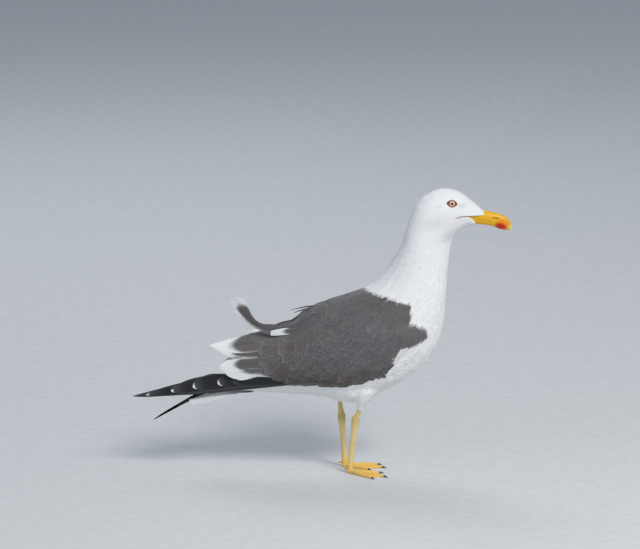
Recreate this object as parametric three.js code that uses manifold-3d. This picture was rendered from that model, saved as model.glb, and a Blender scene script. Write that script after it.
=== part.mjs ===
// A lesser black-backed gull standing at rest, life size, as a set of named solids.
// Millimetres: +X ahead of the bird, +Y to its left, +Z up, with the soles on Z = 0.
import * as THREE from "three";
import { mergeVertices } from "three/addons/utils/BufferGeometryUtils.js";
import Module from "manifold-3d";

const wasm = await Module();
wasm.setup();

// ---- Driving dimensions ---------------------------------------------------------------------

const GAP = 0.3; // clearance between pieces that touch
const CUT = 400; // half the size of a cutting block, larger than the bird
const RIGHT = -1; // sign of Y on the bird's right side
const LEFT = 1;

// The body from the root of the tail to the base of the bill. Each station has its point on the
// back and its point on the belly side, as [x, z], and half its width.
const BODY = [
  { at: "tail root", back: [-115, 137], belly: [-117, 112], half: 18 },
  { at: "rump", back: [-84, 165], belly: [-84, 111], half: 29 },
  { at: "vent", back: [-50, 200], belly: [-45, 108], half: 40 },
  { at: "loins", back: [-14, 231], belly: [-5, 105.5], half: 49 },
  { at: "mid back", back: [22, 248], belly: [34, 96.3], half: 54 },
  { at: "shoulders", back: [48, 257], belly: [77, 110], half: 56 },
  { at: "keel", back: [66, 265], belly: [111, 124.5], half: 54.5 },
  { at: "breast", back: [81, 279], belly: [150, 157], half: 50 },
  { at: "crop", back: [93, 293], belly: [170, 201], half: 42 },
  { at: "neck base", back: [103, 308], belly: [175, 247], half: 35 },
  { at: "mid neck", back: [111, 323], belly: [177.5, 290], half: 30 },
  { at: "throat", back: [117, 343], belly: [181.5, 321], half: 27 },
  { at: "jaw", back: [126, 366], belly: [188, 337.5], half: 25.5 },
  { at: "hind crown", back: [141, 388.5], belly: [198, 344], half: 25 },
  { at: "crown", back: [166, 402], belly: [207, 348], half: 23.5 },
  { at: "brow", back: [191, 398], belly: [214, 350], half: 18.5 },
  { at: "forehead", back: [210, 384.5], belly: [219, 350.5], half: 12.5 },
  { at: "bill base", back: [227.5, 369], belly: [224, 350.5], half: 8 },
];
const station = (name) => BODY.findIndex((s) => s.at === name);
const NECK_START = station("crop") + 0.35;
const HEAD_START = station("throat") + 0.5;
const PARTING = 0.01; // share of a station left open on each side of a cut across the body
const CREST = 0.52; // how far up a section it is widest, from belly to back
const BODY_POWER = 2.15; // squareness of the body's sections: 2 is an ellipse
const BLADE_POWER = 0.8; // squareness of a feather bundle's section
const BILL_POWER = 0.9; // squareness of the bill's section

// The closed bill: its culmen and its underside as [x, z], and half its width.
const BILL = [
  { top: [203, 366], bottom: [204, 352.5], half: 7.6 },
  { top: [226, 370], bottom: [219, 350.5], half: 7.8 },
  { top: [236, 368.2], bottom: [231, 349.4], half: 6.8 },
  { top: [245, 366], bottom: [240, 347], half: 6 },
  { top: [253, 363.3], bottom: [248.5, 343.8], half: 5.4 },
  { top: [259, 359.4], bottom: [255.5, 342.4], half: 4.7 },
  { top: [263.5, 353], bottom: [261, 342.2], half: 3.5 },
  { top: [265.8, 346], bottom: [264.3, 341.6], half: 1.8 },
];
// The line where the mandibles meet, from the corner of the mouth to behind the hook.
const TOMIUM = [
  [190, 361.5],
  [205, 362],
  [217, 359],
  [229, 357.3],
  [241, 354.6],
  [251, 349.5],
  [258, 344.4],
  [262, 340],
];
const BILL_END = 258.5; // the lower mandible ends here, behind the hook
// The bare part of the bill behind the forehead feathers, as an outline in [x, z].
const GAPE = [[206, 362.5], [229.5, 362.5], [250, 362.5], [250, 335], [213.5, 335], [213.5, 354]];

const EYE = { centre: [182, 17.6, 383.5], radius: 6.3 };

// The folded wing over the flank, along the body's stations: how far up each section its lower
// and upper edges are, from belly (0) to back (1), and how far it stands out from the body.
const WING = [
  { along: 0.6, low: 0.3, high: 0.9, out: 4 },
  { along: 1.4, low: 0.24, high: 0.88, out: 5.5 },
  { along: 2.4, low: 0.19, high: 0.84, out: 6.5 },
  { along: 3.6, low: 0.2, high: 0.8, out: 7 },
  { along: 4.8, low: 0.22, high: 0.74, out: 7 },
  { along: 5.8, low: 0.25, high: 0.66, out: 6.5 },
  { along: 6.7, low: 0.28, high: 0.54, out: 6 },
  { along: 7.2, low: 0.24, high: 0.42, out: 5 },
  { along: 7.5, low: 0.21, high: 0.31, out: 3.2 },
];
const WING_INNER = 4; // how deep the wing is let into the body
const WING_POWER = 0.75; // squareness of the wing's section

// Feather groups behind the wing, each as stations with a top edge and a bottom edge in
// [x, z], how far each edge is from the midline, and the group's thickness.
const TERTIALS = [
  { top: [-12, 220], bottom: [-20, 186], in: 8, out: 45, thick: 7 },
  { top: [-48, 205.5], bottom: [-50, 176], in: 6, out: 44, thick: 8 },
  { top: [-84, 201], bottom: [-84, 161], in: 5, out: 37, thick: 9 },
  { top: [-112, 192.5], bottom: [-115, 162], in: 5, out: 28, thick: 7 },
  { top: [-136, 186], bottom: [-134, 166], in: 6, out: 20, thick: 5 },
  { top: [-152, 182], bottom: [-150, 174], in: 7, out: 14, thick: 3 },
  { top: [-161, 180], bottom: [-161, 178], in: 8, out: 9, thick: 1.2 },
];
const SECONDARIES = [
  { top: [-52, 178], bottom: [-52, 133], in: 47, out: 43, thick: 6 },
  { top: [-84, 169], bottom: [-84, 139], in: 38, out: 38, thick: 7 },
  { top: [-115, 166], bottom: [-115, 132.5], in: 27, out: 31, thick: 5 },
  { top: [-134, 161], bottom: [-132, 137], in: 22, out: 27, thick: 3.5 },
  { top: [-145, 152], bottom: [-144, 146], in: 22, out: 24, thick: 1.8 },
];
const PRIMARIES = [
  { top: [-45, 146], bottom: [-45, 127.5], in: 43, out: 43, thick: 6 },
  { top: [-84, 144], bottom: [-84, 122], in: 33, out: 34, thick: 6 },
  { top: [-122, 143.5], bottom: [-122, 117], in: 19, out: 26, thick: 5 },
  { top: [-160, 140], bottom: [-160, 111.5], in: 10, out: 20, thick: 4.5 },
  { top: [-190, 129.5], bottom: [-190, 108.5], in: 7, out: 14, thick: 4 },
  { top: [-227, 117.5], bottom: [-227, 105.5], in: 6, out: 9, thick: 3 },
  { top: [-255, 109], bottom: [-253, 104], in: 6, out: 7, thick: 1.8 },
  { top: [-266, 106], bottom: [-266, 105], in: 6, out: 6.2, thick: 1 },
];
const LEFT_WING = { ahead: 4, down: 4.5 }; // the left wing's rear is carried this much lower
// The left wing's tip crosses the tail and hangs below its end.
const PRIMARIES_LEFT = [
  { top: [-45, 146], bottom: [-45, 127.5], in: 43, out: 43, thick: 6 },
  { top: [-84, 142], bottom: [-84, 121], in: 33, out: 34, thick: 6 },
  { top: [-116, 136], bottom: [-116, 113.5], in: 22, out: 27, thick: 5 },
  { top: [-145, 125], bottom: [-145, 109.5], in: 9, out: 17, thick: 4.5 },
  { top: [-168, 113.5], bottom: [-168, 104.5], in: 4, out: 8, thick: 3.5 },
  { top: [-186, 103.5], bottom: [-186, 98], in: 2, out: 4, thick: 3 },
  { top: [-212, 88], bottom: [-212, 84], in: 1, out: 2, thick: 2.2 },
  { top: [-229, 77], bottom: [-229, 74.6], in: 0.6, out: 1, thick: 1.4 },
  { top: [-237, 71.4], bottom: [-237, 70.2], in: 0.5, out: 0.6, thick: 1 },
];

// A scapular feather of the right side that the wind has lifted.
const LIFTED = [
  { top: [-62, 206], bottom: [-66, 202.5], in: 24, out: 21, thick: 1.6 },
  { top: [-78.4, 208], bottom: [-84, 204], in: 24, out: 19, thick: 1.6 },
  { top: [-86, 210.5], bottom: [-93, 206.6], in: 24, out: 17, thick: 1.5 },
  { top: [-94.5, 217], bottom: [-102.6, 211.6], in: 24, out: 15, thick: 1.4 },
  { top: [-102.2, 226], bottom: [-111, 218.9], in: 23, out: 13, thick: 1.3 },
  { top: [-107, 236], bottom: [-119, 227.9], in: 22, out: 12, thick: 1.2 },
  { top: [-111.3, 244.7], bottom: [-124.3, 235.9], in: 21, out: 11, thick: 1.1 },
  { top: [-120.5, 250.3], bottom: [-131.2, 246.6], in: 19, out: 13, thick: 1 },
];

const TAIL = {
  root: { x: -96, z: 120.5, width: 42, thick: 6 },
  tip: { x: -187, z: 99.5, width: 66, thick: 1.6 },
  corner: 11, // how much shorter the outer feathers are
  arch: 1.5,
};

// Legs, one entry a side. Every second number is a distance from the midline, and turn is the
// foot's direction about +Z, in degrees.
const LEGS = [
  {
    side: RIGHT,
    name: "right",
    ankle: [47.3, 20, 73],
    foot: [39.8, 27],
    thighTop: [59, 23, 120],
    thighEnd: [52.6, 20.5, 88],
    turn: -30,
  },
  {
    side: LEFT,
    name: "left",
    ankle: [27, 19, 70.6],
    foot: [32, 14.5],
    thighTop: [27, 21, 120],
    thighEnd: [25.4, 19.5, 91.5],
    turn: -12,
  },
];
// The thigh's radii, how quickly its feathers narrow to the bare leg, and its width over its depth.
const THIGH = { top: 16, end: 3.7, flare: 1.9, slim: 0.92 };
// The bare leg above the ankle: half depth and half width below the feathers and at the ankle.
const TIBIA = { deep: [3.1, 5.1], wide: [2.5, 3.8], overlap: 0.1 };
const ANKLE_TOP = [0.4, 0, 4.6]; // from the ankle's middle to where the lower leg starts
const SHANK = [
  // from the ankle down to the foot: share of the length, half depth fore and aft, half width
  { at: 0, deep: 5.8, wide: 4 },
  { at: 0.05, deep: 6.4, wide: 4.5 },
  { at: 0.13, deep: 5.4, wide: 4 },
  { at: 0.26, deep: 4.1, wide: 2.9 },
  { at: 0.6, deep: 3.7, wide: 2.6 },
  { at: 0.86, deep: 4, wide: 3.1 },
  { at: 1, deep: 4.5, wide: 4 },
];
const TOES = {
  // length and the angle from straight ahead, positive towards the outside, in degrees
  middle: { length: 54, angle: 0 },
  outer: { length: 47, angle: 21 },
  inner: { length: 41, angle: -25 },
};
const TOE_RADIUS = { root: 3.4, tip: 2.1 };
const KNUCKLES = { count: 2, swell: 0.28 };
const WEB = { thick: 1.5, notch: 0.8 }; // notch: how far out along the toes the web's edge dips to
const HEEL = { height: 11, top: [4, 3.8], bottom: [4.5, 4.5] }; // half depth and half width
const HIND_TOE = { back: 1, length: 5, height: 9, drop: 3.5, radius: [2.1, 1.3] };
const CLAW = { length: 6.5, radius: 1.5, drop: 1.6, slim: 0.8, hindScale: 0.5, hindDip: 28 };
const PAD = 0.5; // how much of a toe's radius the flat sole takes away
const CLAW_LIFT = 0.4; // a claw's root above the middle of its toe

// ---- Colours --------------------------------------------------------------------------------

const COLOURS = {
  white: { color: 0xeceef0, roughness: 0.85 },
  slate: { color: 0x5f5d60, roughness: 0.8 },
  black: { color: 0x1d1e20, roughness: 0.6 },
  bill: { color: 0xe6a91d, roughness: 0.35 },
  leg: { color: 0xdcb35c, roughness: 0.5 },
  claw: { color: 0x1a1613, roughness: 0.4 },
  eye: { color: 0xe9dcae, roughness: 0.1 },
};

function finish(name) {
  return new THREE.MeshStandardMaterial({ ...COLOURS[name], metalness: 0, flatShading: true });
}

// ---- Solids from shaped three.js geometry ---------------------------------------------------

// A closed geometry as a manifold-3d solid.
function solidOf(geometry) {
  const bare = geometry.clone();
  bare.deleteAttribute("normal");
  bare.deleteAttribute("uv");
  const merged = mergeVertices(bare, 1e-3);
  const mesh = new wasm.Mesh({
    numProp: 3,
    vertProperties: new Float32Array(merged.attributes.position.array),
    triVerts: new Uint32Array(merged.index.array),
  });
  const solid = new wasm.Manifold(mesh);
  if (solid.volume() > 0) return solid;
  return solidOf(turnedOut(merged));
}

// The same surface with its faces turned round.
function turnedOut(geometry) {
  const index = Array.from(geometry.index.array);
  for (let i = 0; i < index.length; i += 3) [index[i + 1], index[i + 2]] = [index[i + 2], index[i + 1]];
  return geometry.clone().setIndex(index);
}

// The same solid with every face moved outward by the clearance, for cutting what it touches.
function grown(solid) {
  const mesh = solid.getMesh();
  const points = vertices(mesh);
  const corner = (i) => new THREE.Vector3().fromArray(points, 3 * i);
  const facing = Array.from({ length: mesh.numVert }, () => []);
  for (let f = 0; f < mesh.triVerts.length; f += 3) {
    const [a, b, c] = mesh.triVerts.subarray(f, f + 3);
    const normal = new THREE.Triangle(corner(a), corner(b), corner(c)).getNormal(new THREE.Vector3());
    for (const i of [a, b, c]) facing[i].push(normal);
  }
  const moved = points.slice();
  facing.forEach((normals, i) => {
    const move = new THREE.Vector3();
    for (let pass = 0; pass < 30; pass++) {
      for (const normal of normals) move.addScaledVector(normal, Math.max(0, GAP - normal.dot(move)));
    }
    corner(i).add(move.clampLength(0, 5 * GAP)).toArray(moved, 3 * i);
  });
  return new wasm.Manifold(new wasm.Mesh({ numProp: 3, vertProperties: moved, triVerts: mesh.triVerts }));
}

function vertices(mesh) {
  const points = new Float32Array(mesh.numVert * 3);
  for (let i = 0; i < mesh.numVert; i++) {
    points.set(mesh.vertProperties.subarray(i * mesh.numProp, i * mesh.numProp + 3), i * 3);
  }
  return points;
}

// A drum whose wall and ends are carried to place(along, turn, radius): along runs from 0 to 1,
// turn is an angle round the section and radius is 1 on the wall and 0 at an end's centre.
function shapedDrum(place, rings, sides) {
  const drum = new THREE.CylinderGeometry(1, 1, 1, sides, rings);
  const points = drum.attributes.position;
  for (let i = 0; i < points.count; i++) {
    const turn = Math.atan2(points.getZ(i), points.getX(i));
    const radius = Math.hypot(points.getX(i), points.getZ(i));
    const p = place(points.getY(i) + 0.5, turn, radius);
    points.setXYZ(i, p.x, p.y, p.z);
  }
  return solidOf(drum);
}

const signedPower = (value, power) => Math.sign(value) * Math.abs(value) ** power;
const curveThrough = (points) => new THREE.CatmullRomCurve3(points, false, "catmullrom", 0.5);
const flatCurve = (points) => curveThrough(points.map(([x, z]) => new THREE.Vector3(x, 0, z)));
const numberCurve = (values) => curveThrough(values.map((v, i) => new THREE.Vector3(i, v, 0)));

const backLine = flatCurve(BODY.map((s) => s.back));
const bellyLine = flatCurve(BODY.map((s) => s.belly));
const halfLine = numberCurve(BODY.map((s) => s.half));

// The body's section at a station number: its middle, its upward direction and its half sizes.
function bodySection(along) {
  const share = THREE.MathUtils.clamp(along / (BODY.length - 1), 0, 1);
  const back = backLine.getPoint(share);
  const belly = bellyLine.getPoint(share);
  const middle = belly.clone().lerp(back, CREST);
  return {
    middle,
    up: back.clone().sub(belly).normalize(),
    above: back.distanceTo(middle),
    below: belly.distanceTo(middle),
    half: halfLine.getPoint(share).y,
  };
}

// A point of the body's surface at a station number and an angle from its left side towards its
// back, moved out from the surface.
function bodyPoint(along, turn, radius = 1, out = 0) {
  const s = bodySection(along);
  const tall = Math.sin(turn) > 0 ? s.above : s.below;
  const sideways = (s.half + out) * radius * signedPower(Math.cos(turn), 2 / BODY_POWER);
  const upward = (tall + out) * radius * signedPower(Math.sin(turn), 2 / BODY_POWER);
  return s.middle.clone().addScaledVector(s.up, upward).add(new THREE.Vector3(0, sideways, 0));
}

function bodyPiece(from, to, rings, sides) {
  return shapedDrum((t, turn, radius) => bodyPoint(from + (to - from) * t, turn, radius), rings, sides);
}

// The angle at which a section's surface is a share of the way up from belly to back.
function angleAt(share, side) {
  const height = share < CREST ? (share - CREST) / CREST : (share - CREST) / (1 - CREST);
  const raised = Math.asin(signedPower(height, BODY_POWER / 2));
  return side === LEFT ? raised : Math.PI - raised;
}

const wingLine = (key) => [key, numberCurve(WING.map((s) => s[key]))];
const wingLines = Object.fromEntries(["along", "low", "high", "out"].map(wingLine));

function wingPiece(side) {
  return shapedDrum(
    (t, turn, radius) => {
      const value = (key) => wingLines[key].getPoint(t).y;
      const middle = (value("low") + value("high")) / 2;
      const spread = ((value("high") - value("low")) / 2) * radius * -Math.cos(turn);
      const bulge = signedPower(Math.sin(turn), WING_POWER) * radius;
      const out = bulge * (bulge > 0 ? value("out") : WING_INNER);
      return bodyPoint(value("along"), angleAt(middle + spread, side), 1, out);
    },
    15,
    12,
  );
}

// A flat bundle of feathers through stations of a top edge and a bottom edge.
function bladePiece(stations, side, rings, sides = 10) {
  const top = curveThrough(stations.map((s) => new THREE.Vector3(s.top[0], side * s.in, s.top[1])));
  const bottom = curveThrough(stations.map((s) => new THREE.Vector3(s.bottom[0], side * s.out, s.bottom[1])));
  const thick = numberCurve(stations.map((s) => s.thick));
  return shapedDrum(
    (t, turn, radius) => {
      const a = bottom.getPoint(t);
      const b = top.getPoint(t);
      const across = b.clone().sub(a);
      const normal = across.clone().normalize().cross(new THREE.Vector3(1, 0, 0)).normalize();
      const reach = (across.length() / 2) * radius * -Math.cos(turn);
      const depth = (thick.getPoint(t).y / 2) * radius * signedPower(Math.sin(turn), BLADE_POWER);
      return a.lerp(b, 0.5).addScaledVector(across.normalize(), reach).addScaledVector(normal, depth);
    },
    rings,
    sides,
  );
}

// A round limb between two points whose half sizes fore and aft and sideways follow sizes(t).
function limbPiece(from, to, sizes, rings, sides) {
  const axis = to.clone().sub(from);
  const length = axis.length();
  axis.normalize();
  const sideways = new THREE.Vector3(0, 1, 0).addScaledVector(axis, -axis.y).normalize();
  const ahead = sideways.clone().cross(axis).normalize();
  return shapedDrum(
    (t, turn, radius) => {
      const { deep, wide } = sizes(t);
      return from
        .clone()
        .addScaledVector(axis, length * t)
        .addScaledVector(ahead, deep * radius * Math.sin(turn))
        .addScaledVector(sideways, wide * radius * Math.cos(turn));
    },
    rings,
    sides,
  );
}

function block(x0, x1, y0, y1, z0, z1) {
  const box = new THREE.BoxGeometry(x1 - x0, y1 - y0, z1 - z0);
  return solidOf(box.translate((x0 + x1) / 2, (y0 + y1) / 2, (z0 + z1) / 2));
}

// An outline in [x, z], as wide as asked on both sides of the midline.
function sidePrism(outline, half) {
  const shape = new THREE.Shape(outline.map(([x, z]) => new THREE.Vector2(x, z)));
  const prism = new THREE.ExtrudeGeometry(shape, { depth: 2 * half, bevelEnabled: false });
  return solidOf(prism.rotateX(Math.PI / 2).translate(0, half, 0));
}

// The largest body of a cut solid, without the slivers.
const mainBody = (solid) => solid.decompose().sort((a, b) => b.volume() - a.volume())[0];

function without(solid, ...cutters) {
  return mainBody(cutters.reduce((rest, cutter) => rest.subtract(cutter), solid));
}

// ---- The bird -------------------------------------------------------------------------------

const bird = new THREE.Group();

function place(name, solid, finishName) {
  const mesh = solid.getMesh();
  const geometry = new THREE.BufferGeometry();
  geometry.setAttribute("position", new THREE.BufferAttribute(vertices(mesh), 3));
  geometry.setIndex(new THREE.BufferAttribute(mesh.triVerts, 1));
  geometry.computeVertexNormals();
  const made = new THREE.Mesh(geometry, finish(finishName));
  made.name = name;
  bird.add(made);
}

function makeBill() {
  const top = flatCurve(BILL.map((s) => s.top));
  const bottom = flatCurve(BILL.map((s) => s.bottom));
  const half = numberCurve(BILL.map((s) => s.half));
  const whole = shapedDrum(
    (t, turn, radius) => {
      const a = bottom.getPoint(t);
      const b = top.getPoint(t);
      const upward = (a.distanceTo(b) / 2) * radius * signedPower(Math.sin(turn), BILL_POWER);
      const sideways = half.getPoint(t).y * radius * signedPower(Math.cos(turn), BILL_POWER);
      const up = b.clone().sub(a).normalize();
      return a.lerp(b, 0.5).addScaledVector(up, upward).add(new THREE.Vector3(0, sideways, 0));
    },
    12,
    14,
  );
  const line = flatCurve(TOMIUM).getPoints(10).map((p) => [p.x, p.z]);
  const below = [[CUT, TOMIUM.at(-1)[1]], [CUT, 0], [TOMIUM[0][0], 0]];
  const under = (lift) => sidePrism([...line, ...below].map(([x, z]) => [x, z + lift]), CUT);
  const lower = whole.intersect(under(-GAP)).subtract(block(BILL_END, CUT, -CUT, CUT, 0, CUT));
  const upper = whole.subtract(under(0).intersect(block(0, BILL_END + GAP, -CUT, CUT, 0, CUT)));
  return { whole, upper: mainBody(upper), lower: mainBody(lower) };
}

function makeHead(bill) {
  const head = bodyPiece(HEAD_START + PARTING, BODY.length - 1, 11, 18);
  const sockets = [RIGHT, LEFT].map((side) => grown(eyeball(side)));
  return without(head, grown(bill.whole), sidePrism(GAPE, CUT), ...sockets);
}

function eyeball(side) {
  const [x, y, z] = EYE.centre;
  return solidOf(new THREE.SphereGeometry(EYE.radius, 12, 8).rotateX(Math.PI / 2).translate(x, side * y, z));
}

function makeTail() {
  const { root, tip } = TAIL;
  return shapedDrum(
    (t, turn, radius) => {
      const mix = (key) => THREE.MathUtils.lerp(root[key], tip[key], t);
      const across = Math.cos(turn) * radius;
      const lift = (mix("thick") / 2) * radius * signedPower(Math.sin(turn), BLADE_POWER);
      const x = mix("x") + TAIL.corner * t * across * across;
      const z = mix("z") + ((root.z - tip.z) / (root.x - tip.x)) * (x - mix("x"));
      return new THREE.Vector3(x, (mix("width") / 2) * across, z - TAIL.arch * across * across + lift);
    },
    6,
    14,
  );
}

// The left wing's feather groups, from the right wing's.
function lowered(stations) {
  const move = ([x, z]) => [x + LEFT_WING.ahead, z - LEFT_WING.down];
  return stations.map((s) => ({ ...s, top: move(s.top), bottom: move(s.bottom) }));
}

function makeWings(trunkCutter, tail) {
  for (const [side, name] of [[RIGHT, "right"], [LEFT, "left"]]) {
    const coverts = wingPiece(side);
    const [low, high] = side === RIGHT ? [-GAP / 2, CUT] : [-CUT, GAP / 2];
    const acrossMidline = block(-CUT, CUT, low, high, -CUT, CUT);
    const inner = [trunkCutter, grown(coverts), acrossMidline];
    const set = side === RIGHT ? (stations) => stations : lowered;
    const tertialBlade = bladePiece(set(TERTIALS), side, 10);
    const tertials = without(tertialBlade, ...inner);
    const secondaryBlade = bladePiece(set(SECONDARIES), side, 8);
    const secondaries = without(secondaryBlade, ...inner, grown(tertialBlade));
    const primaryBlade = bladePiece(side === RIGHT ? PRIMARIES : PRIMARIES_LEFT, side, 10);
    const outer = [tertialBlade, secondaryBlade, tail].map(grown);
    const primaries = without(primaryBlade, ...inner, ...outer);
    place("wing_" + name, coverts, "slate");
    place("tertials_" + name, tertials, "slate");
    place("secondaries_" + name, secondaries, "white");
    place("primaries_" + name, primaries, "black");
  }
}

const vector = ([x, y, z], side) => new THREE.Vector3(x, side * y, z);

// The foot's own pieces, with the leg above the origin and the middle toe along +X.
function toePiece(toe) {
  const tip = new THREE.Vector3(toe.length, 0, TOE_RADIUS.tip - PAD);
  const root = new THREE.Vector3(-2, 0, TOE_RADIUS.root - PAD);
  return limbPiece(
    root,
    tip,
    (t) => {
      const swell = KNUCKLES.swell * Math.cos(KNUCKLES.count * 2 * Math.PI * t);
      const radius = THREE.MathUtils.lerp(TOE_RADIUS.root, TOE_RADIUS.tip, t) + swell;
      const size = t > 0.99 ? 0.7 * radius : radius; // the toe's end is rounded off
      return { deep: size, wide: size };
    },
    5,
    7,
  );
}

function webOutline(from, to) {
  const tip = (toe) => {
    const angle = THREE.MathUtils.degToRad(toe.angle);
    return new THREE.Vector2(Math.cos(angle), Math.sin(angle)).multiplyScalar(toe.length * 0.97);
  };
  const [a, b] = [tip(from), tip(to)];
  const dip = a.clone().add(b).multiplyScalar(0.5 * WEB.notch);
  const shape = new THREE.Shape();
  shape.moveTo(-2, 0);
  shape.lineTo(a.x, a.y);
  shape.quadraticCurveTo(dip.x, dip.y, b.x, b.y);
  shape.closePath();
  const skin = { depth: WEB.thick, bevelEnabled: false, curveSegments: 4 };
  return solidOf(new THREE.ExtrudeGeometry(shape, skin));
}

function makeFoot() {
  const turned = (solid, degrees) => solid.rotate([0, 0, degrees]);
  const toes = Object.values(TOES).map((toe) => turned(toePiece(toe), toe.angle));
  const webs = [webOutline(TOES.inner, TOES.middle), webOutline(TOES.middle, TOES.outer)];
  const hind = limbPiece(
    new THREE.Vector3(-HIND_TOE.back, 0, HIND_TOE.height),
    new THREE.Vector3(-HIND_TOE.back - HIND_TOE.length, 0, HIND_TOE.height - HIND_TOE.drop),
    (t) => {
      const radius = THREE.MathUtils.lerp(...HIND_TOE.radius, t);
      return { deep: radius, wide: radius };
    },
    2,
    6,
  );
  const mixed = (t, i) => THREE.MathUtils.lerp(HEEL.top[i], HEEL.bottom[i], t);
  const heel = limbPiece(
    new THREE.Vector3(0, 0, HEEL.height),
    new THREE.Vector3(PAD, 0, 1),
    (t) => ({ deep: mixed(t, 0), wide: mixed(t, 1) }),
    1,
    8,
  );
  const joined = [...toes, ...webs, hind, heel].reduce((all, piece) => all.add(piece));
  return joined.intersect(block(-CUT, CUT, -CUT, CUT, 0, CUT)); // flat soles
}

// A claw that starts at the origin and points along +X.
function makeClaw(scale = 1) {
  return shapedDrum(
    (t, turn, radius) => {
      const thick = CLAW.radius * scale * (1 - 0.85 * t) * radius;
      const x = CLAW.length * scale * t;
      const z = -CLAW.drop * scale * t * t;
      return new THREE.Vector3(x, thick * CLAW.slim * Math.cos(turn), z + thick * Math.sin(turn));
    },
    3,
    6,
  );
}

function makeLeg(leg, trunkCutter) {
  const { side, name } = leg;
  const ankle = vector(leg.ankle, side);
  const sole = vector([leg.foot[0], leg.foot[1], 0], side);
  const ankleTop = ankle.clone().add(new THREE.Vector3(...ANKLE_TOP));
  const shankEnd = sole.clone().setZ(HEEL.height);
  const thighTop = vector(leg.thighTop, side);
  const thighEnd = vector(leg.thighEnd, side);
  const thigh = limbPiece(
    thighTop,
    thighEnd,
    (t) => {
      const size = THREE.MathUtils.lerp(THIGH.end, THIGH.top, (1 - t) ** THIGH.flare);
      return { deep: size, wide: size * THIGH.slim };
    },
    7,
    14,
  );
  const curve = (key) => numberCurve(SHANK.map((s) => s[key]));
  const [at, deep, wide] = ["at", "deep", "wide"].map(curve);
  const axis = shankEnd.clone().sub(ankleTop);
  const sizes = (t) => {
    let share = t; // the curve's own share where "at" reaches t
    for (let i = 0; i < 12; i++) share += t - at.getPoint(THREE.MathUtils.clamp(share, 0, 1)).y;
    share = THREE.MathUtils.clamp(share, 0, 1);
    return { deep: deep.getPoint(share).y, wide: wide.getPoint(share).y };
  };
  const shank = limbPiece(ankleTop, shankEnd.addScaledVector(axis, 0.03), sizes, 8, 10);
  const tarsus = without(shank, block(-CUT, CUT, -CUT, CUT, -CUT, HEEL.height + GAP));
  const bare = (t) => ({
    deep: THREE.MathUtils.lerp(...TIBIA.deep, t * t),
    wide: THREE.MathUtils.lerp(...TIBIA.wide, t * t),
  });
  const tibia = limbPiece(thighEnd, ankleTop.clone().lerp(thighEnd, -TIBIA.overlap), bare, 3, 10);
  place("thigh_" + name, without(thigh, trunkCutter), "white");
  place("tibia_" + name, without(tibia, grown(thigh), grown(tarsus)), "leg");
  place("tarsus_" + name, tarsus, "leg");

  const mirrored = (solid) => (side === RIGHT ? solid.mirror([0, 1, 0]) : solid);
  const set = (solid) => mirrored(solid).rotate([0, 0, leg.turn]).translate([sole.x, sole.y, 0]);
  place("foot_" + name, set(makeFoot()), "leg");
  const clawHeight = TOE_RADIUS.tip - PAD + CLAW_LIFT;
  for (const [toeName, toe] of Object.entries(TOES)) {
    const claw = makeClaw().translate([toe.length + GAP, 0, clawHeight]).rotate([0, 0, toe.angle]);
    place(`claw_${toeName}_${name}`, set(claw), "claw");
  }
  const hindClaw = makeClaw(CLAW.hindScale).rotate([0, -CLAW.hindDip, 0]).rotate([0, 0, 180]);
  const hindEnd = [-HIND_TOE.back - HIND_TOE.length - GAP - 0.4, 0, HIND_TOE.height - HIND_TOE.drop - 0.4];
  place("claw_hind_" + name, set(hindClaw.translate(hindEnd)), "claw");
}

function makeBird() {
  const wholeTrunk = bodyPiece(0, NECK_START - PARTING, 18, 20);
  const trunkCutter = grown(wholeTrunk);
  place("trunk", without(wholeTrunk, ...[RIGHT, LEFT].map((side) => grown(wingPiece(side)))), "white");
  place("neck", bodyPiece(NECK_START + PARTING, HEAD_START - PARTING, 6, 20), "white");
  const bill = makeBill();
  place("head", makeHead(bill), "white");
  place("bill_upper", bill.upper, "bill");
  place("bill_lower", bill.lower, "bill");
  place("eye_right", eyeball(RIGHT), "eye");
  place("eye_left", eyeball(LEFT), "eye");
  const tail = without(makeTail(), trunkCutter);
  place("tail", tail, "white");
  makeWings(trunkCutter, tail);
  place("lifted_feather", mainBody(bladePiece(LIFTED, RIGHT, 10, 8)), "slate");
  LEGS.forEach((leg) => makeLeg(leg, trunkCutter));
}

makeBird();

// The origin is on the floor under the middle of the whole bird.
const extent = new THREE.Box3().setFromObject(bird, true);
const centre = extent.getCenter(new THREE.Vector3());
bird.position.set(-centre.x, -centre.y, -extent.min.z);

const gull = new THREE.Group();
gull.add(bird);
export default gull;
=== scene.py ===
"""A life-size lesser black-backed gull, dressed feather by feather over its solid parts."""

import math
from contextlib import contextmanager

import bmesh
import bpy
import numpy as np
from bpy.props import FloatProperty, FloatVectorProperty, IntProperty, PointerProperty
from mathutils import Matrix, Vector
from mathutils.bvhtree import BVHTree


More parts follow.
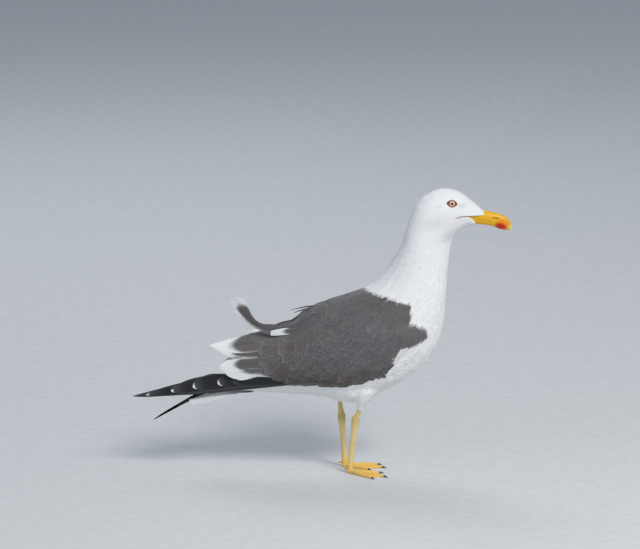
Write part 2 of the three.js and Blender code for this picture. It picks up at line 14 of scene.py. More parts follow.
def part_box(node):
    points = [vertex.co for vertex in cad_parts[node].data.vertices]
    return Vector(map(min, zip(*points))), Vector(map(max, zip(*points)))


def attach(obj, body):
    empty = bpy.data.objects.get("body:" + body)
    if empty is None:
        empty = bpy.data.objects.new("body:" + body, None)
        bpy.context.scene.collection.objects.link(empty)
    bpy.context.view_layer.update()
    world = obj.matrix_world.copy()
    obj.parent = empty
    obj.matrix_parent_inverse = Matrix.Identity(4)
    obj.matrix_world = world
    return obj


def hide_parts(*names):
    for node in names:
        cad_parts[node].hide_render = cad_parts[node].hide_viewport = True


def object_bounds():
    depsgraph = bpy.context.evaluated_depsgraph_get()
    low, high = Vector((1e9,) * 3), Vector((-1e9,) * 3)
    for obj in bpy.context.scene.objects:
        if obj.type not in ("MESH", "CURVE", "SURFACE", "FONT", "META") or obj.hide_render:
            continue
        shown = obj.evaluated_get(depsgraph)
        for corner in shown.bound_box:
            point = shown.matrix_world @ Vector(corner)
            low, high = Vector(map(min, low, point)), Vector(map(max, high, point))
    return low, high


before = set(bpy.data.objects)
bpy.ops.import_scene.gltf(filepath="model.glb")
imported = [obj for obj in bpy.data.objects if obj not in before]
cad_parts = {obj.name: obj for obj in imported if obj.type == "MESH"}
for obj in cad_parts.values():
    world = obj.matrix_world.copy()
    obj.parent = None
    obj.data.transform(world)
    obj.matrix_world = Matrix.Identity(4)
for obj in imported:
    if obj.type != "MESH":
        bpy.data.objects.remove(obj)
cad_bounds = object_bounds()

bl_info = {
    "name": "Standing Gull",
    "version": (1, 0, 0),
    "blender": (4, 5, 0),
    "location": "3D View > Sidebar > Gull",
    "description": "Dresses a life-size gull with skin, feathers, bill, eyes and scaled legs",
    "category": "Add Mesh",
}

MM = 0.001
RIGHT, LEFT = -1, 1
SIDES = {"right": RIGHT, "left": LEFT}
MID = sum(corner.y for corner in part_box("bill_upper")) / 2  # the bird's plane of symmetry


# ---- Places on the bird ----

# The middle of the body in the side view, from the root of the tail to the base of the bill: places
# as shares along and up a node's box.
BODY_MIDDLE = [
    ("trunk", 0.00, 0.14), ("trunk", 0.24, 0.29), ("trunk", 0.50, 0.39), ("trunk", 0.70, 0.49),
    ("trunk", 0.80, 0.61), ("neck", 0.42, 0.40), ("neck", 0.53, 0.70), ("head", 0.28, 0.20),
    ("head", 0.50, 0.55), ("head", 0.76, 0.62), ("head", 1.00, 0.40),
]
BODY_STEPS = 160  # places on the smooth line through them
# The edge of the dark back and wings, as shares along and up the folded wing's box.
MANTLE_EDGE = [
    (0.635, 1.90), (0.635, 1.47), (0.738, 1.41), (0.827, 1.34), (0.905, 1.29), (0.912, 1.10),
    (0.900, 1.01), (0.950, 0.96), (0.996, 0.89), (1.008, 0.77), (0.973, 0.71), (0.916, 0.66),
    (0.845, 0.63), (0.818, 0.51), (0.800, 0.40), (0.738, 0.27), (0.680, 0.17), (0.583, 0.07),
    (0.500, 0.04), (0.250, 0.04), (0.050, 0.00), (0.050, 1.90),
]
# The bare bill behind the forehead's feathers, as shares along and up the upper mandible's box.
BARE_BILL = [
    (0.02, 0.79), (0.40, 0.79), (0.38, 1.00), (0.36, 2.00), (2.00, 2.00), (2.00, -2.00),
    (0.20, -2.00), (0.20, 0.36), (0.17, 0.50), (0.09, 0.66),
]
# The crease behind the corner of the mouth, and the nostril, in the same shares.
MOUTH_CREASE = [(-0.33, 0.70), (-0.21, 0.76), (-0.12, 0.80), (0.03, 0.79), (0.10, 0.77)]
NOSTRIL = [(0.56, 0.655), (0.62, 0.645), (0.69, 0.63)]
# Grey on the white, real smudges and painted shade: where they lie in a node's box, their reach along
# and up in metres, and their strength.
SMUDGES_AND_SHADE = [
    # ahead of the eye and behind it: real grey smudges
    ("head", 0.74, 0.68, 5.0 * MM, 3.0 * MM, 0.40),
    ("head", 0.44, 0.71, 4.0 * MM, 2.0 * MM, 0.30),
    # the cheek, partly real grey and partly painted shade; under the throat and the nape, painted shade
    ("head", 0.40, 0.40, 18 * MM, 9.0 * MM, 0.22),
    ("head", 0.56, 0.14, 11 * MM, 6.0 * MM, 0.45),
    ("neck", 0.20, 0.60, 22 * MM, 30 * MM, 0.22),
]


def spot(node, ahead, up):
    """The place in the side view at shares of a node's length and height."""
    low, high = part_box(node)
    return low.x + ahead * (high.x - low.x), low.z + up * (high.z - low.z)


def outline(node, shares):
    return np.array([spot(node, *share) for share in shares])


def centre(node):
    low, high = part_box(node)
    return np.array((low + high) / 2)


def through(points, count):
    """A smooth line of evenly numbered places through a few points."""
    points = np.asarray(points, float)
    padded = np.vstack([2 * points[0] - points[1], points, 2 * points[-1] - points[-2]])
    at = np.linspace(0, len(points) - 1, count)
    first = np.minimum(at.astype(int), len(points) - 2)
    t = (at - first)[:, None]
    a, b, c, d = (padded[first + i] for i in range(4))
    return 0.5 * (2 * b + (c - a) * t + (2 * a - 5 * b + 4 * c - d) * t**2 + (3 * b - a - 3 * c + d) * t**3)


def to_segments(places, line, closed=False):
    """The distance from each place to a line of straight pieces."""
    ends = np.roll(line, -1, axis=0) if closed else line[1:]
    starts = line if closed else line[:-1]
    best = np.full(len(places), np.inf)
    for a, b in zip(starts, ends):
        along = b - a
        t = np.clip(((places - a) @ along) / (along @ along), 0, 1)
        best = np.minimum(best, np.linalg.norm(places - a - t[:, None] * along, axis=1))
    return best


def inside_by(places, loop):
    """How far each place is inside a closed outline, and less than zero outside it."""
    within = np.zeros(len(places), bool)
    x, z = places[:, 0], places[:, 1]
    for (ax, az), (bx, bz) in zip(loop, np.roll(loop, -1, axis=0)):
        crosses = (az > z) != (bz > z)
        reach = ax + (z - az) * (bx - ax) / np.where(bz == az, 1, bz - az)
        within ^= crosses & (x < reach)
    distance = to_segments(places, loop, closed=True)
    return np.where(within, distance, -distance)


def smoothstep(low, high, value):
    t = np.clip((value - low) / (high - low), 0, 1)
    return t * t * (3 - 2 * t)


def unit(vectors):
    return vectors / np.maximum(np.linalg.norm(vectors, axis=-1, keepdims=True), 1e-12)


def body_line():
    return through([spot(*place) for place in BODY_MIDDLE], BODY_STEPS)


def along_body(places):
    """For places in the side view: their share of the way to the bill, and the body's direction."""
    line = body_line()
    heading = unit(np.gradient(line, axis=0))
    shares = np.linspace(0, 1, len(line))
    share, direction = np.empty(len(places)), np.empty((len(places), 2))
    batch = 20000  # places at a time, to save memory
    for first in range(0, len(places), batch):
        part = slice(first, first + batch)
        gap = np.linalg.norm(places[part, None] - line[None], axis=2)
        weight = np.exp(-((gap - gap.min(axis=1, keepdims=True)) / (6 * MM)))
        weight /= weight.sum(axis=1, keepdims=True)
        share[part], direction[part] = weight @ shares, weight @ heading
    return share, unit(direction)


# ---- Meshes ----

MAP = "OFBake"  # the map that baked colours use


def numbers(items, field, width=1, kind=float):
    """One field of every item of a mesh's list, as an array with a row for each item."""
    found = np.empty(len(items) * width, kind)
    items.foreach_get(field, found)
    return found.reshape(-1, width) if width > 1 else found


def coordinates(mesh):
    return numbers(mesh.vertices, "co", 3)


def normals(mesh):
    return numbers(mesh.vertex_normals, "vector", 3)


def edge_ends(mesh):
    return numbers(mesh.edges, "vertices", 2, np.int64)


def corner_verts(mesh):
    return numbers(mesh.loops, "vertex_index", kind=np.int64)


def corner_faces(mesh):
    """For each corner of a mesh's faces, the number of its face."""
    sizes = numbers(mesh.polygons, "loop_total", kind=np.int64)
    return np.repeat(np.arange(len(sizes)), sizes)


def move_to(mesh, co):
    mesh.vertices.foreach_set("co", np.ascontiguousarray(co, np.float32).ravel())
    mesh.update()


def keep_above(mesh, height):
    """Lifts what lies lower than a height up to it."""
    co = coordinates(mesh)
    co[:, 2] = np.maximum(co[:, 2], height)
    move_to(mesh, co)


def store(mesh, name, values):
    """Keeps a value or a direction for each vertex of a mesh."""
    kind = "FLOAT_VECTOR" if np.ndim(values) == 2 else "FLOAT"
    attribute = mesh.attributes.get(name) or mesh.attributes.new(name, kind, "POINT")
    field = "vector" if kind == "FLOAT_VECTOR" else "value"
    attribute.data.foreach_set(field, np.ascontiguousarray(values, np.float32).ravel())


def store_map(mesh, uv):
    """Keeps a place on the map for each corner of a mesh's faces."""
    layer = mesh.uv_layers.new(name=MAP)
    layer.data.foreach_set("uv", np.ascontiguousarray(uv, np.float32).ravel())


def shade_smooth(mesh):
    mesh.polygons.foreach_set("use_smooth", np.ones(len(mesh.polygons), bool))


@contextmanager
def edited(mesh):
    """A mesh opened for editing, and written back when the work on it is done."""
    work = bmesh.new()
    work.from_mesh(mesh)
    yield work
    work.to_mesh(mesh)
    work.free()


def new_object(name, mesh):
    made = bpy.data.objects.new(name, mesh)
    bpy.context.scene.collection.objects.link(made)
    return made


def mesh_from(name, verts, faces):
    mesh = bpy.data.meshes.new(name)
    mesh.from_pydata(np.asarray(verts).tolist(), [], faces)
    shade_smooth(mesh)
    return mesh


def joined_solids(name, nodes, swell):
    """One mesh from copies of the frame's solids, each a little swollen so that neighbours meet."""
    whole = bmesh.new()
    for node in nodes:
        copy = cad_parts[node].data.copy()
        with edited(copy) as part:
            bmesh.ops.remove_doubles(part, verts=part.verts, dist=1e-6)
            part.normal_update()
            for vert in part.verts:
                vert.co += vert.normal * swell
        whole.from_mesh(copy)
        bpy.data.meshes.remove(copy)
    mesh = bpy.data.meshes.new(name)
    whole.to_mesh(mesh)
    whole.free()
    return mesh


def remeshed(name, mesh, voxel):
    """The outer surface of a mesh as even squares."""
    source = new_object(name + "_source", mesh)
    modifier = source.modifiers.new("Remesh", "REMESH")
    modifier.mode = "VOXEL"
    modifier.voxel_size = voxel
    result = evaluated_mesh(source)
    result.name = name
    drop(source)
    return result


def evaluated_mesh(obj):
    depsgraph = bpy.context.evaluated_depsgraph_get()
    depsgraph.update()
    return bpy.data.meshes.new_from_object(obj.evaluated_get(depsgraph), depsgraph=depsgraph)


def drop(obj):
    mesh = obj.data
    bpy.data.objects.remove(obj)
    if mesh.users == 0:
        bpy.data.meshes.remove(mesh)


def relax(mesh, passes, keep=None, push=0.5, pull=-0.53):
    """Smooths a mesh without shrinking it. keep holds vertices, from 0, free, to 1, still."""
    co = coordinates(mesh)
    a, b = edge_ends(mesh).T
    count = len(co)
    near = np.maximum(np.bincount(a, minlength=count) + np.bincount(b, minlength=count), 1)
    freedom = 1 if keep is None else (1 - keep)[:, None]

    def sum_of_others(values):
        return np.bincount(a, weights=values[b], minlength=count) + np.bincount(
            b, weights=values[a], minlength=count
        )

    for _ in range(passes):
        for step in (push, pull):
            total = np.stack([sum_of_others(co[:, i]) for i in range(3)], axis=1)
            co = co + step * freedom * (total / near[:, None] - co)
    move_to(mesh, co)


def finish_piece(obj, material, slot, replaces=()):
    """Gives a piece its material and its place in the frame."""
    obj.data.materials.clear()
    obj.data.materials.append(material)
    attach(obj, "root")
    if replaces:
        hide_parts(*replaces)
    return obj


# ---- Node trees ----


class Value:
    """A number, vector or colour that a node gives. Arithmetic on numbers adds the nodes for it."""

    def __init__(self, nodes, socket):
        self.nodes, self.socket = nodes, socket

    def __add__(self, other):
        return self.nodes.maths("ADD", self, other)

    def __sub__(self, other):
        return self.nodes.maths("SUBTRACT", self, other)

    def __rsub__(self, other):
        return self.nodes.maths("SUBTRACT", other, self)

    def __mul__(self, other):
        return self.nodes.maths("MULTIPLY", self, other)

    def __truediv__(self, other):
        return self.nodes.maths("DIVIDE", self, other)

    def __abs__(self):
        return self.nodes.maths("ABSOLUTE", self)


class Nodes:
    """Adds nodes to a tree. An input is a plain value, or what another node gives."""

    def __init__(self, tree):
        self.tree = tree

    def plug(self, value, socket):
        """Sets an input to a value, or links it to an output."""
        value = value.socket if isinstance(value, Value) else value
        if isinstance(value, bpy.types.NodeSocket):
            self.tree.links.new(value, socket)
        else:
            socket.default_value = value

    def set(self, node, inputs):
        for name, value in dict(inputs).items():
            self.plug(value, node.inputs[name])

    def add(self, kind, inputs=(), **settings):
        """A node with its settings and inputs."""
        node = self.tree.nodes.new(kind)
        for name, value in settings.items():
            setattr(node, name, value)
        self.set(node, inputs)
        return node

    def get(self, kind, output, inputs=(), **settings):
        """What one output of a new node gives."""
        return Value(self, self.add(kind, inputs, **settings).outputs[output])

    def maths(self, operation, *values, clamp=False):
        return self.get("ShaderNodeMath", 0, enumerate(values), operation=operation, use_clamp=clamp)

    def larger(self, first, second):
        return self.maths("MAXIMUM", first, second)

    def vectors(self, operation, *values):
        """A vector from vectors, or the number that the operation gives."""
        inputs = zip((0, "Scale" if operation == "SCALE" else 1), values)
        output = "Value" if operation in ("LENGTH", "DOT_PRODUCT") else "Vector"
        return self.get("ShaderNodeVectorMath", output, inputs, operation=operation)

    def combine(self, x, y, z=0.0):
        return self.get("ShaderNodeCombineXYZ", 0, {0: x, 1: y, 2: z})

    def grey(self, value):
        channels = {"Red": value, "Green": value, "Blue": value}
        return self.get("ShaderNodeCombineColor", "Color", channels)

    def ramp(self, value, low, high, out_low=0.0, out_high=1.0):
        """A value eased from one span to another, and held at the span's ends."""
        span = {"From Min": low, "From Max": high, "To Min": out_low, "To Max": out_high}
        inputs = {"Value": value, **span}
        return self.get("ShaderNodeMapRange", "Result", inputs, interpolation_type="SMOOTHSTEP")

    def mix(self, share, first, second, kind="MIX"):
        """The first colour, with a share of the second over it."""
        inputs = {0: share, 6: first, 7: second}
        return self.get("ShaderNodeMix", 2, inputs, data_type="RGBA", blend_type=kind)

    def attribute(self, name):
        return self.get("ShaderNodeAttribute", "Fac", attribute_name=name)

    def place(self):
        return self.get("ShaderNodeTexCoord", "Object")

    def noise(self, place, scale, detail=2.0, stretch=None):
        if stretch is not None:
            place = self.vectors("MULTIPLY", place, stretch)
        inputs = {"Vector": place, "Scale": scale, "Detail": detail}
        return self.get("ShaderNodeTexNoise", "Fac", inputs)

    def relief(self, height, depth, strength, **settings):
        """The normal of a surface with a fine relief of some depth."""
        inputs = {"Strength": strength, "Distance": depth, "Height": height}
        return self.get("ShaderNodeBump", "Normal", inputs, **settings)

    def group(self, group, inputs):
        """What a node group gives, by the names of its outputs."""
        node = self.add("ShaderNodeGroup", inputs, node_tree=group)
        return {socket.name: Value(self, socket) for socket in node.outputs}


def new_group(name, kind, inputs, outputs):
    """A new node group: its nodes, what it is given by name, and the sockets of its results."""
    tree = bpy.data.node_groups.new(name, kind)
    for label, socket_kind, default in inputs:
        socket = tree.interface.new_socket(label, in_out="INPUT", socket_type="NodeSocket" + socket_kind)
        if default is not None:
            socket.default_value = default
    for label, socket_kind in outputs:
        tree.interface.new_socket(label, in_out="OUTPUT", socket_type="NodeSocket" + socket_kind)
    nodes = Nodes(tree)
    given = {s.name: Value(nodes, s) for s in tree.nodes.new("NodeGroupInput").outputs if s.name}
    return nodes, given, tree.nodes.new("NodeGroupOutput").inputs


def new_material(name):
    """A new material, its nodes and its one shader."""
    material = bpy.data.materials.new(name)
    material.use_nodes = True
    nodes = Nodes(material.node_tree)
    nodes.tree.nodes.clear()
    shader = nodes.add("ShaderNodeBsdfPrincipled")
    nodes.add("ShaderNodeOutputMaterial", {"Surface": shader.outputs[0]})
    return material, nodes, shader


def settings():
    return bpy.context.scene.gull


def opaque(colour):
    return (*colour, 1.0)


# ---- Settings ----


def size(name, description, millimetres):
    return FloatProperty(
        name=name, description=description, default=millimetres * MM, min=0.0, unit="LENGTH", precision=5
    )


def colour(name, description, value):
    return FloatVectorProperty(
        name=name, description=description, default=value, subtype="COLOR", size=3, min=0.0, max=1.0
    )


def power(name, description, watts):
    return FloatProperty(name=name, description=description, default=watts, unit="POWER")


class GullSettings(bpy.types.PropertyGroup):
    body_depth: size("Body coat depth", "From the body's skin to the feathers' tips", 1.3)
    neck_depth: size("Neck coat depth", "From the neck's skin to the feathers' tips", 0.9)
    head_depth: size("Head coat depth", "From the crown's skin to the feathers' tips", 0.6)
    face_depth: size("Face coat depth", "From the face's skin to the feathers' tips", 0.4)
    leg_depth: size("Thigh coat depth", "From the thigh's skin to the feathers' tips", 0.3)
    thigh_fluff: size("Thigh fluff", "How far the thigh and the belly beside it stand out", 3.0)
    crown_fluff: size("Crown fluff", "How far the hind crown stands out", 2.2)
    skin_voxel: size("Skin mesh step", "Side of the squares of the skin's mesh", 2.15)
    body_feather: size("Body feather", "Length of a feather of the breast", 21)
    seed: IntProperty(name="Seed", description="Start of every random choice", default=7)
    white: colour("White", "White feathers", (0.86, 0.865, 0.87))
    slate: colour("Slate", "Feathers of the back and wings", (0.112, 0.109, 0.116))
    brown: colour("Worn slate", "Faded feathers low on the wing", (0.118, 0.102, 0.094))
    black: colour("Black", "Long feathers of the wing tip", (0.010, 0.0105, 0.012))
    bill_yellow: colour("Bill yellow", "Horn of the bill", (0.78, 0.43, 0.008))
    bill_orange: colour("Bill orange", "Horn beside the red spot", (0.80, 0.26, 0.008))
    bill_red: colour("Bill red", "Spot near the end of the lower mandible", (0.50, 0.022, 0.008))
    bill_tip: colour("Bill tip", "Horn at the bill's end", (0.66, 0.62, 0.24))
    iris: colour("Iris", "Iris of the eye", (0.88, 0.76, 0.56))
    eye_ring: colour("Eye ring", "Bare skin round the eye", (0.27, 0.030, 0.012))
    leg_yellow: colour("Leg yellow", "Scaled skin of the shanks", (0.78, 0.59, 0.25))
    ankle_olive: colour("Ankle olive", "Skin of the ankle and above", (0.44, 0.33, 0.10))
    foot_yellow: colour("Foot yellow", "Skin of the toes and webs", (0.86, 0.54, 0.10))
    claw: colour("Claw", "Horn of the claws", (0.022, 0.017, 0.014))
    floor: colour("Floor", "Studio floor and backdrop", (0.68, 0.69, 0.70))
    key_power: power("Key light", "Power of the main soft lamp", 80.0)
    fill_power: power("Fill light", "Power of the fill lamp", 16.0)


# ---- Feather colours ----

# Tints that are mixed into the colours of the settings.
PALE_FRINGE = (0.30, 0.285, 0.28, 1.0)
DARK_SHAFT = (0.03, 0.027, 0.026, 1.0)
# painted shade at the wing's lower edge
LOW_WING_SHADE = (0.030, 0.024, 0.022, 1.0)
# paler streaks on the black feathers: painted sheen
BLACK_SHEEN_STREAK = (0.045, 0.042, 0.042, 1.0)
BLACK_FRINGE = (0.070, 0.070, 0.076, 1.0)
SHADED_WHITE = (0.78, 0.795, 0.815, 1.0)
# grey of real smudges and of painted shade on the white feathers
SMUDGE_AND_SHADE_GREY = (0.40, 0.44, 0.47, 1.0)
RING_GRAIN = (0.40, 0.085, 0.035, 1.0)
RING_RIM = (0.72, 0.58, 0.52, 1.0)
MOUTH_RED = (0.17, 0.030, 0.022, 1.0)
# Feather materials: how pale their fringes are, and the weight of their sheen.
PLUMAGES = {"white_feathers": (0.35, 0.25), "grey_feathers": (0.50, 0.15), "black_feathers": (0.20, 0.10)}


def white_marks(n, place, across, along):
    """Where a dark feather is white: at its tip, and along an edge or both towards the tip."""
    tip, edge, reach = (n.attribute(name) for name in ("pale_tip", "pale_edge", "reach"))
    side = abs(across)
    ragged = (n.noise(place, 500.0, 2.0) - 0.5) * 0.07
    from_tip = along + ragged - (1.0 - tip) + side * side * (tip * 0.45)
    softness = tip * 0.22 + 0.004
    at_tip = n.ramp(from_tip / softness, -1.0, 1.0) * n.maths("GREATER_THAN", tip, 0.0)
    # reach is 1 for the edge above the shaft, -1 for the one below it and 0 for both
    towards = n.larger(across * reach, side * (1.0 - abs(reach)))
    at_edge = n.ramp(towards - (1.0 - edge), -0.12, 0.12) * n.maths("GREATER_THAN", edge, 0.0)
    return n.larger(at_tip, at_edge * n.ramp(along, 0.30, 0.78))


def feather_group():
    """The colour, roughness and relief of feathers, from what each vane's mesh says of itself."""
    if "feather finish" in bpy.data.node_groups:
        return bpy.data.node_groups["feather finish"]
    colours = [(name, "Color", None) for name in ("White", "Slate", "Worn", "Black")]
    n, given, result = new_group(
        "feather finish",
        "ShaderNodeTree",
        [*colours, ("Fringe", "Float", 0.35)],
        [("Colour", "Color"), ("Height", "Float"), ("Roughness", "Float")],
    )
    place, haze = n.place(), n.attribute("haze")
    tone, tint = n.attribute("tone"), n.attribute("tint")
    across, along = n.attribute("vane_u"), n.attribute("vane_v")
    side = abs(across)
    patch = n.noise(place, 26.0, 3.0, (1.0, 0.4, 1.6))
    streak = n.noise(n.combine(across * 4.0, along, tint * 40.0), 2.2, 3.0)
    rim = n.larger(n.ramp(side, 0.72, 1.0), n.ramp(along, 0.86, 1.0))
    # dark feathers: slate, worn brown in patches, painted shade low on the wing, darker along the shaft
    dark = n.mix(n.ramp(patch + tint * 0.12, 0.46, 0.78), given["Slate"], given["Worn"])
    dark = n.mix(haze * 0.7, dark, given["Worn"])
    shade = n.ramp(tint, 0.0, 1.0, 0.86, 1.06) + (streak - 0.36) * 0.55
    dark = n.mix(1.0, dark, n.grey(shade), "MULTIPLY")
    # painted shade towards the wing's lower edge
    dark = n.mix(n.attribute("low") * 0.62, dark, LOW_WING_SHADE)
    dark = n.mix(rim * given["Fringe"], dark, n.mix(0.5, dark, PALE_FRINGE))
    shaft = n.ramp(side, 0.0, 0.09, 1.0, 0.0) * n.ramp(along, 0.7, 0.98, 1.0, 0.0)
    dark = n.mix(shaft * 0.45, dark, DARK_SHAFT)
    # the long black feathers, where the tone passes 1, with paler streaks of painted sheen
    black = n.mix(n.ramp(streak, 0.45, 0.75, 0.0, 0.5), given["Black"], BLACK_SHEEN_STREAK)
    black = n.mix(rim * 0.8, black, BLACK_FRINGE)
    body = n.mix(n.maths("SUBTRACT", tone, 1.0, clamp=True), dark, black)
    # white feathers, where the tone falls to 0, and the white tips and edges of dark ones
    snow = n.mix(n.ramp(patch + tint * 0.2, 0.4, 0.85, 0.0, 0.5), given["White"], SHADED_WHITE)
    # real grey smudges over the white, and painted shade on the cheek, throat and nape
    snow = n.mix(haze, snow, SMUDGE_AND_SHADE_GREY)
    white = n.larger(white_marks(n, place, across, along), n.maths("SUBTRACT", 1.0, tone, clamp=True))
    n.plug(n.mix(white, body, snow), result["Colour"])
    # barbs run out from the shaft towards the tip, with splits between them
    barbs = n.maths("SINE", (along * n.attribute("barbs") - side * 9.0) * (2 * math.pi))
    split = n.noise(place, 900.0, 2.0)
    n.plug(barbs * 0.12 + split * 0.9, result["Height"])
    n.plug(n.ramp(split + tone * 0.1, 0.2, 0.9, 0.78, 0.62), result["Roughness"])
    return n.tree


def feather_finish(n, fringe):
    """The feather group, in the colours of the settings."""
    chosen = settings()
    colours = {"White": chosen.white, "Slate": chosen.slate, "Worn": chosen.brown, "Black": chosen.black}
    inputs = {name: opaque(value) for name, value in colours.items()}
    return n.group(feather_group(), {**inputs, "Fringe": fringe})


def plumage(name):
    """A feather material."""
    if name in bpy.data.materials:
        return bpy.data.materials[name]
    fringe, sheen = PLUMAGES[name]
    material, n, shader = new_material(name)
    found = feather_finish(n, fringe)
    inputs = {
        "Base Color": found["Colour"],
        "Roughness": found["Roughness"],
        "Normal": n.relief(found["Height"], 0.22 * MM, 0.5),
        "Sheen Weight": sheen,
        "Sheen Roughness": 0.5,
        "Specular IOR Level": 0.3,
    }
    n.set(shader, inputs)
    return material


def skin_material():
    """Skin under the coat in the feathers' own markings, with the bare ring round the eye."""
    chosen = settings()
    material, n, shader = new_material("skin")
    found = feather_finish(n, 0.0)
    grain = n.noise(n.place(), 1400.0, 3.0)
    crease = n.attribute("crease")
    bare = n.mix(grain, opaque(chosen.eye_ring), RING_GRAIN)
    bare = n.mix(n.attribute("rim"), bare, RING_RIM)
    bare = n.mix(crease, bare, MOUTH_RED)
    mask = n.larger(n.attribute("bare"), crease)
    covered = n.mix(n.attribute("gape"), found["Colour"], opaque(chosen.bill_yellow))
    inputs = {
        "Base Color": n.mix(mask, covered, bare),
        "Roughness": n.ramp(mask, 0.0, 1.0, 0.8, 0.42),
        "Normal": n.relief(grain, 0.2 * MM, 0.6),
    }
    n.set(shader, inputs)
    return material


# ---- The skin ----

FLESH = ["trunk", "neck", "head", "wing_right", "wing_left", "thigh_right", "thigh_left"]
SWELL = 0.3 * MM  # neighbouring solids grow by this much, so that they meet in the skin
THIGH_LIE = np.array([-0.15, 0, -1.0])  # the way the thigh's feathers lie
# Shares along the body where the coat's depth changes from the body's to the neck's, the head's and
# the face's.
DEPTH_SHARES = [0.0, 0.52, 0.66, 0.80, 0.90, 1.0]
CROWN = (0.12, 0.66)  # the middle of the hind crown, as shares of the head's box
CROWN_REACH = (26 * MM, 22 * MM)  # of its fluff, along and up
BILL_ROOT = 0.55  # share of the bill that the skin is joined to
# How far above and ahead of the head's lowest, rearmost corner the mesh grows finer, step by step.
FINER_FROM = ((0, 0), (10 * MM, 45 * MM))
CREASE_WIDTH = 0.75 * MM
CREASE_DEPTH = 1.0 * MM
EYE_LOOK = (0.08, 1.0, 0.05)  # an eye's outward direction: ahead, to its own side, and up
EYE_SHIFT = (-1.0 * MM, 0.0, -0.3 * MM)  # from the middle of the eye's solid to the eye's
EYE_SLANT = math.radians(-6)  # the eye's long axis dips towards the bill
# Rings round the eye as half length, half height and roundness, from the face to the eyeball.
EYE_FACE = (10.6 * MM, 8.6 * MM, 2.0)
EYE_RING = (8.1 * MM, 5.3 * MM, 1.55)
EYE_LID = (5.4 * MM, 4.1 * MM, 1.8)
LID_RINGS = 9  # rows of faces from the face to the lid's edge
LID_BULGE = 0.45 * MM
RING_GROOVE = 0.25 * MM  # round the bare ring
LID_GAP = 0.35 * MM  # from the eyeball to the lid's edge
# Behind the lid's edge: the ring's size, as a share of the edge's, and how deep it lies.
LID_TURNED_IN = [(0.97, 0.45 * MM), (0.94, 1.2 * MM), (0.7, 3.2 * MM)]


def eye_frame(side):
    """An eye's middle, and its directions ahead, up and outward."""
    middle = centre("eye_right" if side == RIGHT else "eye_left") + np.array(EYE_SHIFT)
    outward = unit(np.array([EYE_LOOK[0], side * EYE_LOOK[1], EYE_LOOK[2]]))
    ahead = np.array([math.cos(EYE_SLANT), 0, math.sin(EYE_SLANT)])
    ahead = unit(ahead - outward * (ahead @ outward))
    up = np.cross(ahead, outward)
    return middle, ahead, up * np.sign(up[2]), outward


def eye_radius():
    low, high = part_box("eye_right")
    return (high.x - low.x) / 2


def ring_reach(shape, angle):
    """How far a ring round the eye is from the eye's middle, at an angle."""
    length, height, roundness = shape
    inner = np.abs(np.cos(angle) / length) ** roundness + np.abs(np.sin(angle) / height) ** roundness
    return inner ** (-1 / roundness)


def coat_depth(co, share):
    """How deep the skin lies under the solids' surface."""
    chosen = settings()
    body, neck, head = chosen.body_depth, chosen.neck_depth, chosen.head_depth
    depth = np.interp(share, DEPTH_SHARES, [body, body, neck, head, head, chosen.face_depth])
    low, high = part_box("head")
    ahead = (co[:, 0] - low.x - CROWN[0] * (high.x - low.x)) / CROWN_REACH[0]
    up = (co[:, 2] - low.z - CROWN[1] * (high.z - low.z)) / CROWN_REACH[1]
    depth = depth - chosen.crown_fluff * np.exp(-(ahead**2)) * np.exp(-(up**2))
    for name, side in SIDES.items():
        low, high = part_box("thigh_" + name)
        near = smoothstep(high.z + 4 * MM, high.z - 12 * MM, co[:, 2])
        near *= smoothstep(42 * MM, 12 * MM, np.abs(co[:, 0] - (low.x + high.x) / 2))
        near *= smoothstep(-2 * MM, 8 * MM, side * (co[:, 1] - MID))
        fluff = chosen.thigh_fluff * smoothstep(low.z + 2 * MM, low.z + 18 * MM, co[:, 2])
        depth = depth + near * (chosen.leg_depth - fluff - depth)
    return depth


def refine(mesh, chosen_verts):
    """Splits the squares round chosen vertices into four."""
    with edited(mesh) as work:
        work.verts.ensure_lookup_table()
        edges = [e for e in work.edges if all(chosen_verts[v.index] for v in e.verts)]
        bmesh.ops.subdivide_edges(work, edges=edges, cuts=1, use_grid_fill=True)
        bmesh.ops.triangulate(work, faces=[f for f in work.faces if len(f.verts) > 4])


def hole_edge(work, middle, side):
    """The vertices round the hole at an eye, in order."""

    def at_eye(edge):
        co = edge.verts[0].co
        return edge.is_boundary and abs(co.x - middle[0]) < 20 * MM and (co.y - MID) * side > 0

    rim = [edge for edge in work.edges if at_eye(edge)]
    follow = {}
    for edge in rim:
        for vert in edge.verts:
            follow.setdefault(vert, []).append(edge)
    start = rim[0].verts[0]
    loop, edge, vert = [start], rim[0], rim[0].other_vert(start)
    while vert is not start:
        loop.append(vert)
        edge = next(e for e in follow[vert] if e is not edge)
        vert = edge.other_vert(vert)
    return loop


